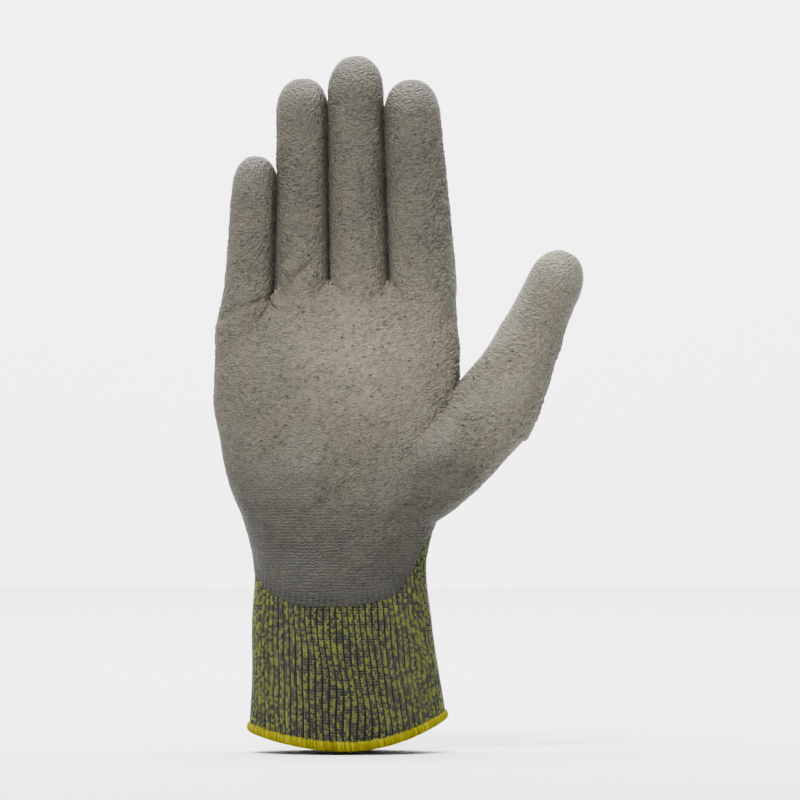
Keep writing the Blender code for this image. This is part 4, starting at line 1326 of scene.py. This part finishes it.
# %% Finish, hide and ride
def finish_with(obj, finish):
    obj.data.materials.clear()
    obj.data.materials.append(finish.material)


def join_all(name, objs):
    pick(*objs)
    if len(objs) > 1:
        bpy.ops.object.join()
    objs[0].name = objs[0].data.name = name
    return objs[0]


def digit_at(label):
    """The finger of a piece's label, and the number of its joint."""
    digit = next(d for d in DIGITS if label.startswith(d.name))
    return digit, digit.joints.index(label[len(digit.name) + 1:])


def bend_at(obj, joint_name, along, middle, span):
    """Works out a stretch round `middle`, measured from the joint, and bakes the piece's transform; nothing is
    blended.
    """
    joint = JOINTS[joint_name]
    centre = Vector(joint["pos_m"]) + Vector(along) * middle
    centre - Vector(along) * span / 2
    centre + Vector(along) * span / 2
    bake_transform(obj)


WRIST_BEND = 26 * MM


def bend_piece(obj, label):
    if label == "palm":
        bend_at(obj, "wrist_bend", (0, 0, 1), 0.0, WRIST_BEND)
        return
    digit, k = digit_at(label)
    joint_name = f"{label}_bend"
    span = digit.blends[k] * MM
    shift = 0.0
    if k == 0:
        at = (np.array(JOINTS[joint_name]["pos_m"]) - digit.start) @ digit.along
        shift = digit.splits[0] * MM + span / 2 - at
    bend_at(obj, joint_name, digit.along, shift, span)


for finish, objs in ((foam, films.values()), (ground, [*knits.values(), cuff_ground]),
                     (lime_yarn, [ribs_front, ribs_back] + [obj for legs in leg_sets.values() for obj in legs]),
                     (hem_core, [hem_band]), (hem_yarn, [hem_wraps])):
    for obj in objs:
        finish_with(obj, finish)

for label, piece in films.items():
    piece.name = piece.data.name = f"{label}_foam_coating"
    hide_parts(*(("palm_coating", "heel_coating") if label == "palm" else (f"{label}_coating",)))
    bend_piece(piece, label)
for label, piece in knits.items():
    groups = {f"{label}_bare_knit": [piece] + leg_sets.get(label, [])}
    if label == "palm":         # the hand's loops are too many for one piece with their ground
        groups = {"palm_bare_knit": [piece], "palm_knit_loops": leg_sets["palm"]}
    stands_for = [f"{label}_knit"]
    if label == "palm":
        stands_for += ["wrist_fold"] + [f"{digit.name}_base_fold" for digit in DIGITS]
    else:                       # and the fold to the next stretch, if there is one
        digit, k = digit_at(label)
        stands_for += [f"{digit.name}_{joint}_fold" for joint in digit.joints[k + 1:k + 2]]
    for name, objs in groups.items():
        made = join_all(name, objs)
        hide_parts(*stands_for)
        bend_piece(made, label)
for obj in (ribs_front, ribs_back, cuff_ground):
    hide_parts("cuff_rib")
    bend_piece(obj, "palm")
for obj in (hem_band, hem_wraps):
    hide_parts("cuff_hem")
    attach(obj, "cuff")
bpy.data.objects.remove(skin)

# %% [markdown]
# ## Floor, light and camera
# A floor, a pale backdrop with its own light, a strong light from above and a little to the left
# whose slant shows the grain, weaker ones from the left and from above, and a camera level with
# the glove's middle, so far away that the fingers look straight.

# %% Studio
def stage_sheet(name, size, place, turn, shade):
    pick()
    bpy.ops.mesh.primitive_plane_add(size=size, location=place, rotation=turn)
    sheet = bpy.context.object
    sheet.name = name
    finish = Finish(name + "_finish", 0.9, Specular_IOR_Level=0.1)
    finish.set(Base_Color=(shade, shade, shade, 1.0))
    sheet.data.materials.append(finish.material)
    sheet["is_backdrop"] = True


def soft_light(name, place, aim, size, power):
    lamp = bpy.data.lights.new(name, "AREA")
    lamp.energy, lamp.size = power, size
    obj = add_object(name, lamp)
    obj.location = place
    obj.rotation_euler = (Vector(aim) - Vector(place)).to_track_quat("-Z", "Y").to_euler()


stage_sheet("floor", 8.0, (0, 0, -1.6 * MM), (0, 0, 0), 0.62)
stage_sheet("backdrop", 8.0, (0, 2.6, 2.0), (math.pi / 2, 0, 0), 0.93)
soft_light("front_light", (-0.22, -0.80, 1.25), (0.02, 0, 0.13), 0.32, 62)
soft_light("low_fill", (-1.1, -1.6, 0.45), (0.02, 0, 0.13), 0.9, 5)
soft_light("top_light", (0.0, -0.1, 1.6), (0.02, 0, 0.1), 1.2, 10)
soft_light("wall_light", (0, 0.9, 2.2), (0, 2.6, 0.4), 2.5, 450)
world = bpy.data.worlds.new("studio")
bpy.context.scene.world = world
world.use_nodes = True
world.node_tree.nodes["Background"].inputs["Color"].default_value = (1, 1, 1, 1)
world.node_tree.nodes["Background"].inputs["Strength"].default_value = 0.10
lens = bpy.data.cameras.new("camera")
lens.lens, lens.sensor_width = 373.7, 36.0
camera = add_object("camera", lens)
camera.location = (19.1 * MM, -3.0, 125.7 * MM)
camera.rotation_euler = (math.pi / 2, 0, 0)
bpy.context.scene.camera = camera
print("camera looks along +Y from", [round(v, 3) for v in camera.location])

# %% Sizes
low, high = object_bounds()
print("visual box in mm", [round(v / MM, 1) for v in (*low, *high)])
